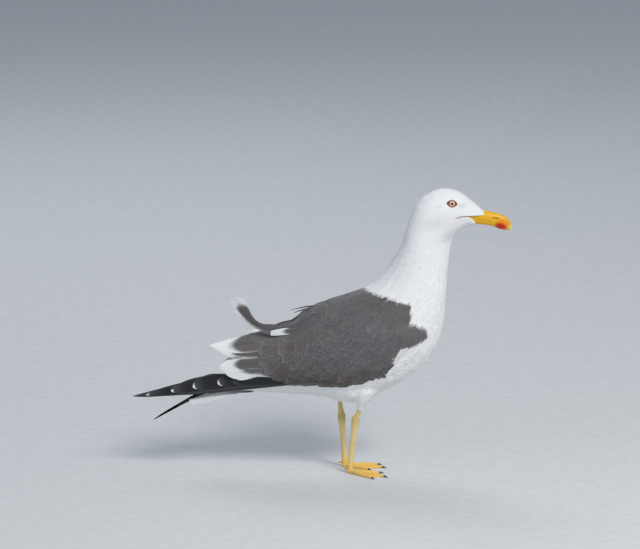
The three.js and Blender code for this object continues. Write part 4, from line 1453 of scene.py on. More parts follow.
def lay_row(plumes, reach, wing, back, count, length, width, inset, haze):
    """A row of coverts over the folded wing, drawn back from the wing's edge."""
    rng = np.random.default_rng(settings().seed + count)
    v = np.linspace(0, 1, 12)
    for ahead, up, slope in through(COVERT_TIPS, count):
        angle = math.radians(slope + rng.uniform(-2.5, 2.5))
        along = np.array([-math.cos(angle), -math.sin(angle)])
        above = np.array([along[1], -along[0]])
        shrink = 1 - 0.35 * smoothstep(0.35, 0.65, ahead)
        span = length * shrink * rng.uniform(0.94, 1.06)
        tip = np.array(spot(wing, ahead, up)) - along * (back * shrink + rng.uniform(-1, 1) * MM)
        bow = above * (0.05 * span * np.sin(np.pi * v))[:, None]
        middle = tip - along * ((1 - v) * span)[:, None] + bow
        if middle[:, 1].max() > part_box(wing)[1].z + 8 * MM:
            continue
        half = leaf(v, 0.5, 0.55, 2.4, 0.5) * width / 2 * (0.5 + 0.5 * shrink) * rng.uniform(0.94, 1.06)
        plumes.add(
            reach.place, middle, half, np.array(inset) * MM, tilt=0.35, fray=0.8 * MM, tone=1.0,
            # painted shade towards the wing's lower edge
            haze=haze, low=0.5 * smoothstep(0.34, 0.06, up),
        )


def lay_streaks(plumes, reach):
    """Narrow streaked feathers of the shoulder, side by side under the line of the back."""
    rng = np.random.default_rng(settings().seed + 5)
    line = through(outline("trunk", BACK_LINE), 60)
    for k in range(STREAKS):
        first = rng.integers(0, 14)
        middle = line[first : first + rng.integers(26, 40)] - np.array([0, 5 * MM + STREAK_STEP * k])
        half = leaf(np.linspace(0, 1, len(middle)), 0.4, 0.4, 1.6, 0.3) * rng.uniform(2.2, 3.4) * MM
        plumes.add(
            reach.place, middle, half, (1.8 * MM, -0.5 * MM, -0.9 * MM), tilt=0.3, fray=1.6 * MM,
            tone=1.0, haze=0.5 * (k % 2), tint=0.15 + 0.8 * (k % 2),
        )


def bundle_blade(plumes, reach, cuts, tip, drop, inset, low, high, rounded, **marks):
    """A flight feather inside the outline of its group, ending at a share of the group's length."""
    low_x, high_x = cuts[0, 0], cuts[-1, 0]
    end = high_x - tip * (high_x - low_x)
    xs = np.linspace(high_x, end, 40)
    bottom, top = np.interp(xs, cuts[:, 0], cuts[:, 1]), np.interp(xs, cuts[:, 0], cuts[:, 2])
    floor = bottom + np.linspace(*low, 40) * (top - bottom)
    roof = bottom + np.linspace(*high, 40) * (top - bottom)
    # the outline rounds off to a tip that lies at a share of the group's height
    aim = bottom + drop * (top - bottom)
    close = np.clip((end + rounded - xs) / rounded, 0, 1)
    keep = 0.12 + 0.88 * np.sqrt(1 - close**2)
    floor, roof = aim + (floor - aim) * keep, aim + (roof - aim) * keep
    middle = np.stack([xs, (floor + roof) / 2], axis=1)
    half = np.maximum((roof - floor) / 2, 0.25 * MM)
    plumes.add(reach.place, middle, half, np.array(inset) * MM, arc=0.0, **marks)


def lay_blades(blades, reach, node, table, rounded, fray):
    """The pale-tipped blades of a group of flight feathers."""
    cuts = slices(node)
    for tip, drop, low, high, inset, white, edge in table:
        bundle_blade(
            blades, reach, cuts, tip, drop, (inset, 0.6 * inset), low, high, rounded, thick=0.5 * MM,
            tilt=0.2, fray=fray, tone=1.0, pale_tip=white, pale_edge=edge,
        )


def make_wing(name):
    """One folded wing's coverts, tertials, secondaries and primaries."""
    side, grey = SIDES[name], plumage("grey_feathers")
    groups = ("wing", "tertials", "secondaries", "primaries")
    wing, tertials, secondaries, primaries = (f"{part}_{name}" for part in groups)

    coverts = Plumes(9, 6)
    whole = Reach(["trunk", "neck", wing, tertials, secondaries], 1, side, 3, MID)
    for back, count, length, width, inset, haze in COVERT_ROWS:
        lay_row(coverts, whole, wing, back * MM, count, length * MM, width * MM, inset, haze)
    lay_streaks(coverts, whole)
    finish_piece(coverts.build(f"coverts_{name}"), grey, "grey_plumage")

    for node, under, table, rows, rounded, fray in (
        (tertials, [wing, "trunk"], TERTIALS, 16, 16 * MM, 1.2 * MM),
        (secondaries, [wing], SECONDARIES, 14, 14 * MM, 1.0 * MM),
    ):
        blades = Plumes(rows, 8)
        reach = Reach([node, *under], 1, side, 2, MID)
        lay_blades(blades, reach, node, table, rounded, fray)
        finish_piece(blades.build(f"long_{node}"), grey, "grey_plumage", [node])

    blades, cuts = Plumes(24, 6), slices(primaries)
    reach = Reach([primaries], 1, side, 1, MID)
    for k, tip in enumerate(PRIMARY_TIPS):
        low = 0.02 + 0.04 * k if k else 0.0
        sink = 3.0 - 0.6 * k
        bundle_blade(
            blades, reach, cuts, tip, 0.42, (9, 3.4 - 0.6 * k, sink, sink), (low, low),
            (min(0.50 + 0.10 * k, 1.0), 1.0), (30 if k else 3) * MM, thick=0.55 * MM, camber=0.35 * MM,
            fray=0.3 * MM, tone=2.0, pale_tip=0.015 if 0 < k < 5 else 0.0,
        )
    black = plumage("black_feathers")
    finish_piece(blades.build(f"long_primaries_{name}"), black, "black_plumage", [primaries])


# Rows of shoulder feathers from the rearmost: where their tips lie along the trunk, their count, and
# their spread and length in millimetres.
SHOULDER_ROWS = [
    (0.06, 4, 9, 52), (0.12, 4, 12, 54), (0.19, 6, 20, 52),
    (0.26, 6, 25, 48), (0.34, 8, 30, 44), (0.42, 8, 34, 40),
]
# Loose strands on the slope of the back: shares of the trunk's box from root to tip, half width and
# distance from the middle in millimetres.
LOOSE = [
    ([(0.44, 0.685), (0.34, 0.683), (0.247, 0.655)], 1.1, -5),
    ([(0.42, 0.675), (0.33, 0.668), (0.265, 0.640)], 1.3, -9),
]
LOFT = 4.5 * MM  # how far the wind lifts the shoulder feathers off the back


def make_back():
    """Long feathers of the shoulders that lie over the back and close the gap between the wings."""
    roof = Reach([f"{part}_{name}" for part in ("tertials", "wing") for name in SIDES], 2, 1, 4)
    body = Reach(["trunk"], 2, 1, 1)
    # the roof is level between the ridges of the two wings
    across = roof.first[1] + SWEEP * np.arange(roof.values.shape[1])
    for row in roof.values:
        a = np.argmax(np.where(across < MID, row, -1))
        b = np.argmax(np.where(across > MID, row, -1))
        row[a : b + 1] = np.interp(across[a : b + 1], [across[a], across[b]], [row[a], row[b]])
    low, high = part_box("trunk")
    length = high.x - low.x

    def over(flat, inset):
        """Places on the higher of the back and the wings, with the feathers' loft."""
        found, other = roof.place(flat, inset), body.place(flat, inset)
        found[:, 2] = np.maximum(found[:, 2], other[:, 2])
        ahead = (flat[:, 0] - low.x) / length
        loft = smoothstep(0.50, 0.30, ahead) * smoothstep(0.08, 0.22, ahead)
        found[:, 2] += LOFT * loft * smoothstep(30 * MM, 10 * MM, np.abs(flat[:, 1] - MID))
        return found

    def beside(off):
        """Places in a plane beside the bird's middle."""
        return lambda flat, inset: np.stack([flat[:, 0], MID + off * MM + inset, flat[:, 1]], axis=1)

    blades = Plumes(14, 6)
    rng = np.random.default_rng(settings().seed + 3)
    v = np.linspace(0, 1, 12)
    for row, (ahead, count, spread, reach) in enumerate(SHOULDER_ROWS):
        for k in range(count):
            across = (2 * (k + 0.5) / count - 1) * spread + rng.uniform(-1, 1)
            tip = np.array([low.x + ahead * length + rng.uniform(-4, 4) * MM, MID + across * MM])
            root = tip + np.array([reach, 0.12 * across]) * MM
            half = leaf(v, 0.5, 0.55, 2.4, 0.5) * rng.uniform(6.5, 8.0) * MM
            sink = (1.2 - 0.2 * row) * MM
            blades.add(
                over, root + (tip - root) * v[:, None], half, (sink + 2.6 * MM, sink, sink - 0.4 * MM),
                thick=0.4 * MM, fray=1.4 * MM, tone=1.0, haze=0.15, pale_tip=0.0 if row else 0.30,
            )
    for line, width, off in LOOSE:
        middle = through(outline("trunk", line), 12)
        half = leaf(v, 0.6, 0.4, 1.6, 0.25) * width * MM
        blades.add(
            beside(off), middle, half, (0.0, 0.0), thick=0.4 * MM, fray=2.0 * MM,
            tone=1.0, haze=0.4, tint=0.6,
        )
    finish_piece(blades.build("long_scapulars"), plumage("grey_feathers"), "grey_plumage")


TAIL_PAIRS = 6


def make_tail():
    """The tail's white feathers, the middle pair on top."""
    above = Reach(["tail"], 2, 1, 1)
    low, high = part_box("tail")
    reach = (high.y - low.y) / 2 - 8 * MM
    v = np.linspace(0, 1, 14)
    half = leaf(v, 0.55, 0.6, 3.0, 0.55) * 8 * MM
    blades = Plumes(12, 6)
    for k in range(TAIL_PAIRS):
        from_middle = TAIL_PAIRS - 1 - k
        spread = (from_middle + 0.5) / TAIL_PAIRS
        deep = (0.4 + 0.45 * from_middle) * MM
        for side in SIDES.values():
            root = np.array([high.x, MID + side * spread * 9 * MM])
            tip = np.array([low.x + 3 * MM * spread**2, (low.y + high.y) / 2 + side * spread * reach])
            middle = root + (tip - root) * v[:, None]
            blades.add(above.place, middle, half, (deep * 1.4, deep), thick=0.5 * MM, fray=0.8 * MM)
    finish_piece(blades.build("long_tail"), plumage("white_feathers"), "white_plumage", ["tail"])


# The lifted feather's rear and fore edges as shares of its box, from its tip to its root.
LIFTED_REAR = [
    (0.00, 0.94), (0.07, 0.72), (0.22, 0.44), (0.40, 0.22), (0.62, 0.06), (0.80, -0.02), (1.05, -0.06),
    (1.30, -0.04),
]
LIFTED_FORE = [
    (0.18, 1.02), (0.33, 0.88), (0.42, 0.62), (0.54, 0.34), (0.74, 0.17), (1.00, 0.11), (1.15, 0.11),
    (1.32, 0.14),
]
# The shoulder feather whose pale tip lies over that root, from root to tip, in the same shares.
PALE_PATCH = [(1.50, 0.06), (0.84, -0.06)]


def make_lifted():
    """The feather that stands up from the back, and a shoulder feather over its root."""
    rear = through(outline("lifted_feather", LIFTED_REAR[::-1]), 24)
    fore = through(outline("lifted_feather", LIFTED_FORE[::-1]), 24)
    half = np.linalg.norm(rear - fore, axis=1) / 2 * 1.12
    lean = Reach(["lifted_feather"], 1, RIGHT, 2, MID)
    feather = Plumes(16, 8)
    feather.add(
        lean.place, (rear + fore) / 2, half, (4 * MM, 1.2 * MM, 0.2 * MM, 0.0, 0.0, 0.0), thick=0.6 * MM,
        camber=-0.9 * MM, fray=2.4 * MM, arc=0.15, tone=1.0, pale_tip=0.17, pale_edge=0.50, reach=0.9,
        tint=0.9, haze=0.12,
    )
    v = np.linspace(0, 1, 12)
    root, tip = outline("lifted_feather", PALE_PATCH)
    half = leaf(v, 0.5, 0.5, 2.4, 0.7) * 4.8 * MM
    feather.add(
        lean.place, root + (tip - root) * v[:, None], half, (-0.6 * MM, -1.4 * MM), thick=0.4 * MM,
        fray=1.8 * MM, arc=0.3, tone=1.0, pale_tip=0.42, haze=0.2,
    )
    grey = plumage("grey_feathers")
    finish_piece(feather.build("raised_feather"), grey, "grey_plumage", ["lifted_feather"])


# ---- Bill, eyes and legs ----

TOES = ("middle", "outer", "inner", "hind")
# Patches of colour on the bill: their middle as shares of the upper mandible's box, their reach along
# and up in millimetres, their turn, and the shares of that reach where they begin to fade and end.
HORN_PATCHES = {
    "Orange": (0.80, 0.36, 15, 10, 0.50, 0.25, 1.00),
    "Tip": (1.02, 0.10, 9, 15, 0.50, 0.35, 1.00),
    "Red": (0.745, 0.225, 10.5, 6.6, 0.30, 0.42, 1.05),
}
# Tints that are mixed into the colours of the settings.
HORN_GRAIN = (0.70, 0.34, 0.01, 1.0)
# painted shade inside the nostril's slit
NOSTRIL_SHADE = (0.05, 0.02, 0.008, 1.0)
IRIS_FLECK = (0.52, 0.40, 0.16, 1.0)
IRIS_EDGE = (0.42, 0.26, 0.09, 1.0)
PUPIL = (0.003, 0.003, 0.004, 1.0)
EYE_DARK = (0.035, 0.018, 0.012, 1.0)
LEG_MOTTLE = (0.62, 0.52, 0.26, 1.0)
# painted shade in the grooves between the scales
LEG_GROOVE_SHADE = (0.22, 0.12, 0.04, 1.0)
CLAW_STREAK = (0.07, 0.05, 0.035, 1.0)
EYE_RINGS, EYE_SPOKES = 44, 48  # of the eyeball's mesh
# Sides of the squares of the small pieces' meshes.
HORN_STEP, LEG_STEP, CLAW_STEP = 0.45 * MM, 0.62 * MM, 0.32 * MM
NOSTRIL_WIDTH, NOSTRIL_DEPTH = 0.75 * MM, 1.1 * MM
# The legs' scales: from one to the next, and how far they stand out.
SHANK_STEP, SHANK_RELIEF = 2.5 * MM, 0.22 * MM
TOE_STEP, TOE_RELIEF = 1.9 * MM, 0.20 * MM
FINE_STEPS, FINE_RELIEF = (1.0 * MM, 1.1 * MM), 0.07 * MM


def smooth_copy(name, nodes, voxel, passes, swell):
    mesh = remeshed(name, joined_solids(name, nodes, swell), voxel)
    relax(mesh, passes)
    return mesh


def box_unwrap(mesh):
    """Lays the faces of a small piece out by the way they face, side by side."""
    co = coordinates(mesh)
    low, high = co.min(axis=0), co.max(axis=0)
    facing = numbers(mesh.polygons, "normal", 3)
    axis = np.argmax(np.abs(facing), axis=1)
    way = np.take_along_axis(facing, axis[:, None], axis=1)[:, 0] > 0
    panel = (axis * 2 + way)[corner_faces(mesh)]
    at = (co[corner_verts(mesh)] - low) / (max(high - low) * 1.05)
    axis = panel // 2
    u = np.where(axis == 0, at[:, 1], at[:, 0])
    v = np.where(axis == 2, at[:, 1], at[:, 2])
    left, bottom = panel % 3 + 0.02 + 0.96 * u, panel // 3 + 0.02 + 0.96 * v
    store_map(mesh, np.stack([left, bottom], axis=1) / 3)


def finish_small(name, mesh, material, slot, replaces):
    shade_smooth(mesh)
    box_unwrap(mesh)
    finish_piece(new_object(name, mesh), material, slot, replaces)


def horn_group():
    """The bill's yellow, its orange and red spot and its pale tip, by where each place lies."""
    n, given, result = new_group(
        "horn colours",
        "ShaderNodeTree",
        [(name, "Color", None) for name in ("Yellow", *HORN_PATCHES)],
        [("Colour", "Color"), ("Height", "Float")],
    )
    place = n.place()
    grain = n.noise(place, 260.0, 3.0, (1.0, 1.0, 2.4))
    horn = n.mix(n.ramp(grain, 0.3, 0.8, 0.0, 0.35), given["Yellow"], HORN_GRAIN)
    for name, (ahead, up, length, height, turn, inner, outer) in HORN_PATCHES.items():
        x, z = spot("bill_upper", ahead, up)
        inputs = {
            "Vector": place,
            "Location": (x, 0, z),
            "Rotation": (0, turn, 0),
            "Scale": (length * MM, 10.0, height * MM),
        }
        moved = n.get("ShaderNodeMapping", 0, inputs, vector_type="TEXTURE")
        horn = n.mix(n.ramp(n.vectors("LENGTH", moved), inner, outer, 1.0, 0.0), horn, given[name])
    # near-black painted shade inside the nostril's slit
    n.plug(n.mix(n.attribute("nostril"), horn, NOSTRIL_SHADE), result["Colour"])
    n.plug(grain + (grain - 0.5) * 0.7, result["Height"])
    return n.tree


def make_bill():
    """Both halves of the bill, with the nostril pressed into the upper one."""
    chosen = settings()
    material, n, shader = new_material("bill_horn")
    yellow, orange = opaque(chosen.bill_yellow), opaque(chosen.bill_orange)
    red, tip = opaque(chosen.bill_red), opaque(chosen.bill_tip)
    found = n.group(horn_group(), {"Yellow": yellow, "Orange": orange, "Red": red, "Tip": tip})
    inputs = {
        "Base Color": found["Colour"],
        "Normal": n.relief(found["Height"], 0.3 * MM, 0.35),
        "Roughness": 0.34,
        "Specular IOR Level": 0.35,
        "Subsurface Weight": 0.12,
        "Subsurface Radius": (0.002, 0.001, 0.0004),
        "Subsurface Scale": 1.0,
    }
    n.set(shader, inputs)
    slit = through(outline("bill_upper", NOSTRIL), 12)
    for part in ("bill_upper", "bill_lower"):
        mesh = smooth_copy("horn_" + part, [part], HORN_STEP, 5, 0.05 * MM)
        co, facing = coordinates(mesh), normals(mesh)
        near = np.exp(-((to_segments(co[:, [0, 2]], slit) / NOSTRIL_WIDTH) ** 2))
        near *= (np.abs(facing[:, 1]) > 0.3) * (part == "bill_upper")
        move_to(mesh, co - facing * (near * NOSTRIL_DEPTH)[:, None])
        store(mesh, "nostril", smoothstep(0.35, 0.8, near))
        finish_small("horn_" + part, mesh, material, "bill", [part])


def make_eye(name, material):
    """A glossy eyeball with an iris and a pupil, its clear front a little raised."""
    middle, ahead, up, outward = eye_frame(SIDES[name])
    radius = eye_radius()
    turns = np.linspace(0, math.pi, EYE_RINGS + 1)[1:-1]
    spokes = np.linspace(0, 2 * math.pi, EYE_SPOKES, endpoint=False)
    t, a = (grid.ravel() for grid in np.meshgrid(turns, spokes, indexing="ij"))
    swell = radius + 0.35 * MM * np.exp(-((t / 0.55) ** 4)) - 0.1 * MM
    under_lid = t - np.arcsin(np.minimum(ring_reach(EYE_LID, a) / radius, 1))
    swell = swell * (1 - 0.16 * smoothstep(0.04, 0.40, under_lid))
    rel = np.outer(np.cos(t) * swell, outward)
    rel = rel + np.outer(np.sin(t) * swell * np.cos(a), ahead) + np.outer(np.sin(t) * swell * np.sin(a), up)
    front, rear = middle + outward * (radius + 0.25 * MM), middle - outward * radius
    count, faces = EYE_SPOKES, []
    for i in range(EYE_RINGS - 2):
        for j in range(count):
            k = (j + 1) % count
            faces.append((i * count + j, i * count + k, (i + 1) * count + k, (i + 1) * count + j))
    first, base = len(rel), (EYE_RINGS - 2) * count
    faces += [(first, (j + 1) % count, j) for j in range(count)]
    faces += [(first + 1, base + j, base + (j + 1) % count) for j in range(count)]
    mesh = mesh_from("eyeball_" + name, np.vstack([middle + rel, front, rear]), faces)
    # the front and the rear end come last
    t, a = np.append(t, [0, math.pi]), np.append(a, [0, 0])
    store(mesh, "off_axis", np.where(t > math.pi / 2, radius, np.sin(t) * radius) / MM)
    spread = t / math.pi * 0.49
    uv = 0.5 + np.stack([spread * np.cos(a), spread * np.sin(a)], axis=1)
    store_map(mesh, uv[corner_verts(mesh)])
    with edited(mesh) as work:
        bmesh.ops.recalc_face_normals(work, faces=work.faces)
    finish_piece(new_object("eyeball_" + name, mesh), material, "eye", ["eye_" + name])


def eye_material():
    """The iris and the pupil, by how many millimetres each place is from the eye's axis."""
    material, n, shader = new_material("eye_gloss")
    off, flecks = n.attribute("off_axis"), n.noise(n.place(), 1500.0, 4.0)
    iris = n.mix(n.ramp(flecks, 0.35, 0.75, 0.0, 0.55), opaque(settings().iris), IRIS_FLECK)
    iris = n.mix(n.ramp(off, 2.9, 4.1), iris, IRIS_EDGE)
    iris = n.mix(n.ramp(off, 1.85, 2.15), PUPIL, iris)
    whole = n.mix(n.ramp(off, 4.05, 4.5), iris, EYE_DARK)
    n.set(shader, {"Base Color": whole, "Roughness": 0.12, "Coat Weight": 1.0, "Coat Roughness": 0.03})
    return material


def leg_solids(name, nodes):
    """The leg's solids as one mesh, with a stump that runs on up into the thigh's feathers."""
    solids = joined_solids("leg_" + name, nodes, 0.22 * MM)
    tibia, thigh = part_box("tibia_" + name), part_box("thigh_" + name)
    shin = coordinates(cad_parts["tibia_" + name].data)
    knee = Vector(shin[shin[:, 2] > tibia[1].z - 2 * MM].mean(axis=0))
    hip_y = (3 * knee.y + (thigh[0].y + thigh[1].y) / 2) / 4
    hip = Vector((thigh[0].x + 6 * MM, hip_y, thigh[0].z + 12 * MM))
    knee.z = tibia[1].z - 3 * MM
    turned = (hip - knee).to_track_quat("Z", "Y").to_matrix().to_4x4()
    with edited(solids) as work:
        bmesh.ops.create_cone(
            work,
            cap_ends=True,
            segments=20,
            radius1=2.6 * MM,
            radius2=3.4 * MM,
            depth=(hip - knee).length,
            matrix=Matrix.Translation((knee + hip) / 2) @ turned,
        )
    return solids


def toe_scutes(co, name):
    """The relief of the scutes along the toes, from the heel to the roots of the claws."""
    low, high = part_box("tarsus_" + name)
    heel = np.array([high.x - 9 * MM, (low.y + high.y) / 2, low.z])
    best, ridge = np.full(len(co), np.inf), np.zeros(len(co))
    for toe in TOES:
        along = centre(f"claw_{toe}_{name}") - heel
        t = np.clip(((co - heel) @ along) / (along @ along), 0, 1)
        gap = np.linalg.norm((co - heel - t[:, None] * along)[:, :2], axis=1)
        wave = np.abs(np.sin(t * np.linalg.norm(along) / TOE_STEP * math.pi))
        scute = (wave**0.4 - 0.75) * TOE_RELIEF
        ridge = np.where(gap < best, scute * smoothstep(3.6 * MM, 2.2 * MM, gap), ridge)
        best = np.minimum(best, gap)
    return ridge


def leg_relief(co, facing, name):
    """How far the leg's scales stand out: broad scutes down its front, fine ones at its back."""
    low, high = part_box("tarsus_" + name)
    up = co[:, 2]
    shank = smoothstep(low.z, low.z + 5 * MM, up) * smoothstep(high.z + 6 * MM, high.z - 2 * MM, up)
    front = smoothstep(0.0, 0.6, facing[:, 0])
    wave = np.abs(np.sin(up / SHANK_STEP * math.pi))
    relief = (wave**0.35 - 0.75) * SHANK_RELIEF * shank * front
    small = np.sin(up / FINE_STEPS[0] * math.pi) * np.sin(co[:, 1] / FINE_STEPS[1] * math.pi)
    relief += small * FINE_RELIEF * shank * (1 - front)
    toes = smoothstep(low.z + 4 * MM, low.z, up) * smoothstep(0.1, 0.5, facing[:, 2])
    return relief + toe_scutes(co, name) * toes


def make_leg(name, material):
    """The bare leg with the foot and its webs as one scaled skin."""
    nodes = [f"{part}_{name}" for part in ("tibia", "tarsus", "foot")]
    mesh = remeshed("leg_" + name, leg_solids(name, nodes), LEG_STEP)
    relax(mesh, 6)
    # the ankle is smoother than the rest
    low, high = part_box("tarsus_" + name)
    up = coordinates(mesh)[:, 2]
    ankle = smoothstep(high.z - 14 * MM, high.z - 4 * MM, up) * smoothstep(high.z + 12 * MM, high.z, up)
    relax(mesh, 40, 1 - ankle, 0.5, -0.35)
    co, facing = coordinates(mesh), normals(mesh)
    relief = leg_relief(co, facing, name)
    on_sole = co[:, 2] < 1.0 * MM
    move_to(mesh, co + facing * (relief * ~on_sole)[:, None])
    keep_above(mesh, 0.0)
    up = coordinates(mesh)[:, 2]
    store(mesh, "web", smoothstep(low.z + 8 * MM, low.z - 3 * MM, up))
    store(mesh, "ankle", 0.5 * smoothstep(high.z - 16 * MM, high.z - 4 * MM, up))
    # painted shade in the grooves, by how deep each lies
    store(mesh, "groove", np.clip(-relief / (0.15 * MM), 0, 1))
    finish_small("leg_" + name, mesh, material, "leg_skin", nodes)


def leg_material():
    """Yellow scaled skin, olive above the ankle, warmer on the foot, with painted shade in its grooves."""
    chosen = settings()
    material, n, shader = new_material("leg_scales")
    place = n.place()
    mottle = n.noise(place, 120.0, 4.0, (1.0, 1.0, 0.6))
    skin = n.mix(n.attribute("web"), opaque(chosen.leg_yellow), opaque(chosen.foot_yellow))
    skin = n.mix(n.attribute("ankle"), skin, opaque(chosen.ankle_olive))
    skin = n.mix(n.ramp(mottle, 0.35, 0.75, 0.0, 0.45), skin, LEG_MOTTLE)
    # painted shade in the grooves between the scales
    skin = n.mix(n.attribute("groove") * 0.55, skin, LEG_GROOVE_SHADE)
    cells = n.get("ShaderNodeTexVoronoi", "Distance", {"Vector": place, "Scale": 900.0})
    inputs = {
        "Base Color": skin,
        "Normal": n.relief(cells, 0.2 * MM, 0.35, invert=True),
        "Roughness": 0.5,
        "Subsurface Weight": 0.1,
        "Subsurface Radius": (0.002, 0.001, 0.0005),
        "Subsurface Scale": 1.0,
    }
    n.set(shader, inputs)
    return material


def make_claws():
    """The claws of each foot, in streaked dark horn."""
    material, n, shader = new_material("claw_horn")
    streaks = n.noise(n.place(), 500.0, 3.0)
    horn = n.mix(n.ramp(streaks, 0.4, 0.8, 0.0, 0.6), opaque(settings().claw), CLAW_STREAK)
    n.set(shader, {"Base Color": horn, "Roughness": 0.3})
    for name in SIDES:
        nodes = [f"claw_{toe}_{name}" for toe in TOES]
        mesh = smooth_copy("claws_" + name, nodes, CLAW_STEP, 4, 0.12 * MM)
        keep_above(mesh, 0.05 * MM)
        finish_small("claws_" + name, mesh, material, "claw", nodes)


# ---- Stage ----

VIEW_RISE = math.radians(11)  # the camera looks down on the bird by this much
VIEW_REACH = 8.0  # from the camera to the bird, in metres
VIEW_WIDTH = 0.896  # width of the view at the bird
VIEW_AT = (0.4952, 0.6935)  # where the camera looks, as shares along and up the bird
SENSOR = 36.0
FLOOR_REACH = 40.0  # from the middle of the floor to its edge, in metres
FLOOR_SPECKLE = (0.52, 0.53, 0.54, 1.0)
SKY = (0.72, 0.80, 0.92, 1.0)
SKY_STRENGTH = 0.42


def make_stage():
    """The camera, the studio's floor, the lamps and the sky."""
    chosen = settings()
    scene = bpy.context.scene
    camera = new_object("camera", bpy.data.cameras.new("camera"))
    scene.camera = camera
    low, high = cad_bounds
    ahead, up = VIEW_AT
    target = Vector((low.x + ahead * (high.x - low.x), MID, low.z + up * (high.z - low.z)))
    back = Vector((0, -math.cos(VIEW_RISE), math.sin(VIEW_RISE)))
    camera.location = target + back * VIEW_REACH
    camera.rotation_euler = (math.pi / 2 - VIEW_RISE, 0, 0)
    camera.data.sensor_width = SENSOR
    camera.data.lens = SENSOR * VIEW_REACH / VIEW_WIDTH
    camera.data.clip_end = 100

    material, n, shader = new_material("studio")
    speckle = n.noise(n.place(), 60.0, 4.0)
    ground = n.mix(n.ramp(speckle, 0.3, 0.7, 0.0, 0.25), opaque(chosen.floor), FLOOR_SPECKLE)
    n.set(shader, {"Base Color": ground, "Roughness": 0.9})
    ends = (-FLOOR_REACH, FLOOR_REACH)
    verts = [(x, y, 0.0) for y in ends for x in ends]
    floor = new_object("studio_floor", mesh_from("studio_floor", verts, [(0, 1, 3, 2)]))
    floor.data.materials.append(material)

    lamp("key", (1.6, -2.2, 2.5), target, 1.3, chosen.key_power, (1.0, 0.97, 0.92))
    lamp("fill", (-2.6, -2.4, 1.2), target, 2.4, chosen.fill_power, (0.86, 0.93, 1.0))
    lamp("back", (-0.6, 2.4, 2.4), target, 1.6, chosen.fill_power * 1.4, (0.94, 0.97, 1.0))
    world = bpy.data.worlds.new("studio")
    world.use_nodes = True
    sky = world.node_tree.nodes["Background"].inputs
    sky["Color"].default_value = SKY
    sky["Strength"].default_value = SKY_STRENGTH
    scene.world = world
    scene.view_settings.view_transform = "Standard"


def lamp(name, place, target, width, power, tint):
    """A round soft lamp that looks at the bird."""
    data = bpy.data.lights.new(name, "AREA")
    data.shape = "DISK"
    data.size = width
    data.energy = power
    data.color = tint
    made = new_object(name, data)
    made.location = place
    made.rotation_euler = (target - Vector(place)).to_track_quat("-Z", "Y").to_euler()


# ---- Operators ----


class GULL_OT_skin(bpy.types.Operator):
    """Makes the skin under the feathers, with the eyelids and the mouth's crease"""

    bl_idname = "gull.skin"
    bl_label = "Skin"

    def execute(self, context):
        skin = make_skin()
        finish_piece(skin, skin_material(), "white_plumage", FLESH)
        return {"FINISHED"}


class GULL_OT_stage(bpy.types.Operator):
    """Sets up the camera, the floor and the lights"""

    bl_idname = "gull.stage"
    bl_label = "Stage"

    def execute(self, context):
        make_stage()
        return {"FINISHED"}


class GULL_OT_body_coat(bpy.types.Operator):
    """Lays the feathers of the head, neck, body and thighs"""

    bl_idname = "gull.body_coat"
    bl_label = "Body feathers"

    def execute(self, context):
        names = ("share", "thigh", "feathered", "slate_by", "round_eye")
        share, thigh, feathered, slate, round_eye = skin_values(*names)
        on_head = share > HEAD_SHARE
        by_eye = 1 - 0.45 * round_eye
        head_size = np.interp(share, [0.77, 0.90, 1.0], [1.6, 1.0, 0.72]) * by_eye
        lay_coat("coat_head", on_head * feathered, head_size)
        neck = ~on_head * (share > NECK_SHARE) * feathered
        lay_coat("coat_neck", neck, np.interp(share, [0.58, 0.78], [1.25, 0.8]))
        body = (share <= NECK_SHARE) * (slate < 8 * MM) * (thigh < 0.5) * feathered
        body_size = np.interp(thigh, [0, 0.4], [1, 0.5])
        lay_coat("coat_body", body, body_size, Length=settings().body_feather)
        lay_coat("coat_thigh", (thigh >= 0.4) * 1.0, np.ones(len(share)))
        return {"FINISHED"}


class GULL_OT_mantle(bpy.types.Operator):
    """Lays the dark feathers of the back and the fore part of the wings"""

    bl_idname = "gull.mantle"
    bl_label = "Back feathers"

    def execute(self, context):
        share, slate = skin_values("share", "slate_by")
        mantle = (slate > 3 * MM) * (share < 0.62)
        mantle_size = np.interp(slate / MM, [3, 22], [0.5, 1.0])
        lay_coat("coat_mantle", mantle, mantle_size, Seed=settings().seed + 20)
        return {"FINISHED"}


class GULL_OT_wings(bpy.types.Operator):
    """Lays the long feathers of both folded wings"""

    bl_idname = "gull.wings"
    bl_label = "Wings"

    def execute(self, context):
        for name in SIDES:
            make_wing(name)
        return {"FINISHED"}


class GULL_OT_back(bpy.types.Operator):
    """Lays the long shoulder feathers over the back"""

    bl_idname = "gull.back"
    bl_label = "Shoulder feathers"

    def execute(self, context):
        make_back()
        return {"FINISHED"}


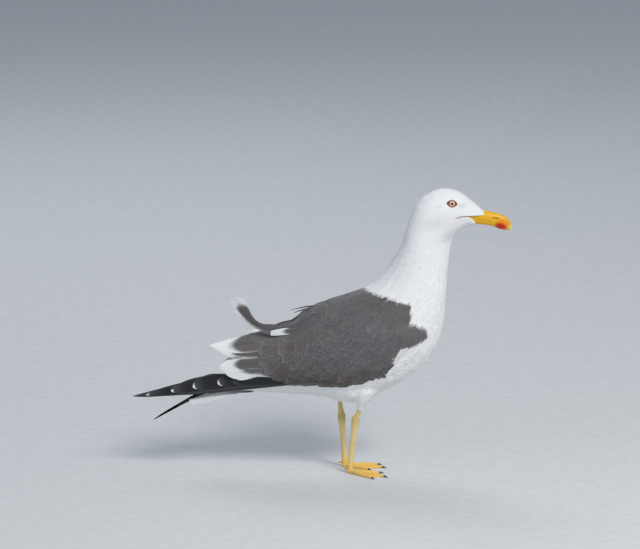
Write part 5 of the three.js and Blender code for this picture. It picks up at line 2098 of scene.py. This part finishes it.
class GULL_OT_tail(bpy.types.Operator):
    """Lays the tail's feathers"""

    bl_idname = "gull.tail"
    bl_label = "Tail"

    def execute(self, context):
        make_tail()
        return {"FINISHED"}


class GULL_OT_lifted(bpy.types.Operator):
    """Stands the lifted feather on the back"""

    bl_idname = "gull.lifted"
    bl_label = "Lifted feather"

    def execute(self, context):
        make_lifted()
        return {"FINISHED"}


class GULL_OT_bill(bpy.types.Operator):
    """Makes both halves of the bill, with the nostril and the red spot"""

    bl_idname = "gull.bill"
    bl_label = "Bill"

    def execute(self, context):
        make_bill()
        return {"FINISHED"}


class GULL_OT_eyes(bpy.types.Operator):
    """Makes the eyeballs"""

    bl_idname = "gull.eyes"
    bl_label = "Eyes"

    def execute(self, context):
        material = eye_material()
        for name in SIDES:
            make_eye(name, material)
        return {"FINISHED"}


class GULL_OT_legs(bpy.types.Operator):
    """Makes the scaled legs and feet, and the claws"""

    bl_idname = "gull.legs"
    bl_label = "Legs"

    def execute(self, context):
        material = leg_material()
        for name in SIDES:
            make_leg(name, material)
        make_claws()
        return {"FINISHED"}


class GULL_PT_panel(bpy.types.Panel):
    """Lists the gull's pieces"""

    bl_label = "Standing Gull"
    bl_idname = "GULL_PT_panel"
    bl_space_type = "VIEW_3D"
    bl_region_type = "UI"
    bl_category = "Gull"

    def draw(self, context):
        for piece in OPERATORS:
            self.layout.operator(piece.bl_idname)


OPERATORS = (
    GULL_OT_stage, GULL_OT_skin, GULL_OT_bill, GULL_OT_eyes, GULL_OT_body_coat, GULL_OT_mantle,
    GULL_OT_wings, GULL_OT_back, GULL_OT_tail, GULL_OT_lifted, GULL_OT_legs,
)
CLASSES = (GullSettings, *OPERATORS, GULL_PT_panel)


def register():
    for made in CLASSES:
        bpy.utils.register_class(made)
    bpy.types.Scene.gull = PointerProperty(type=GullSettings)


def unregister():
    del bpy.types.Scene.gull
    for made in reversed(CLASSES):
        bpy.utils.unregister_class(made)


def main():
    register()
    for piece in OPERATORS:
        group, name = piece.bl_idname.split(".")
        getattr(getattr(bpy.ops, group), name)()


if __name__ == "__main__":
    main()
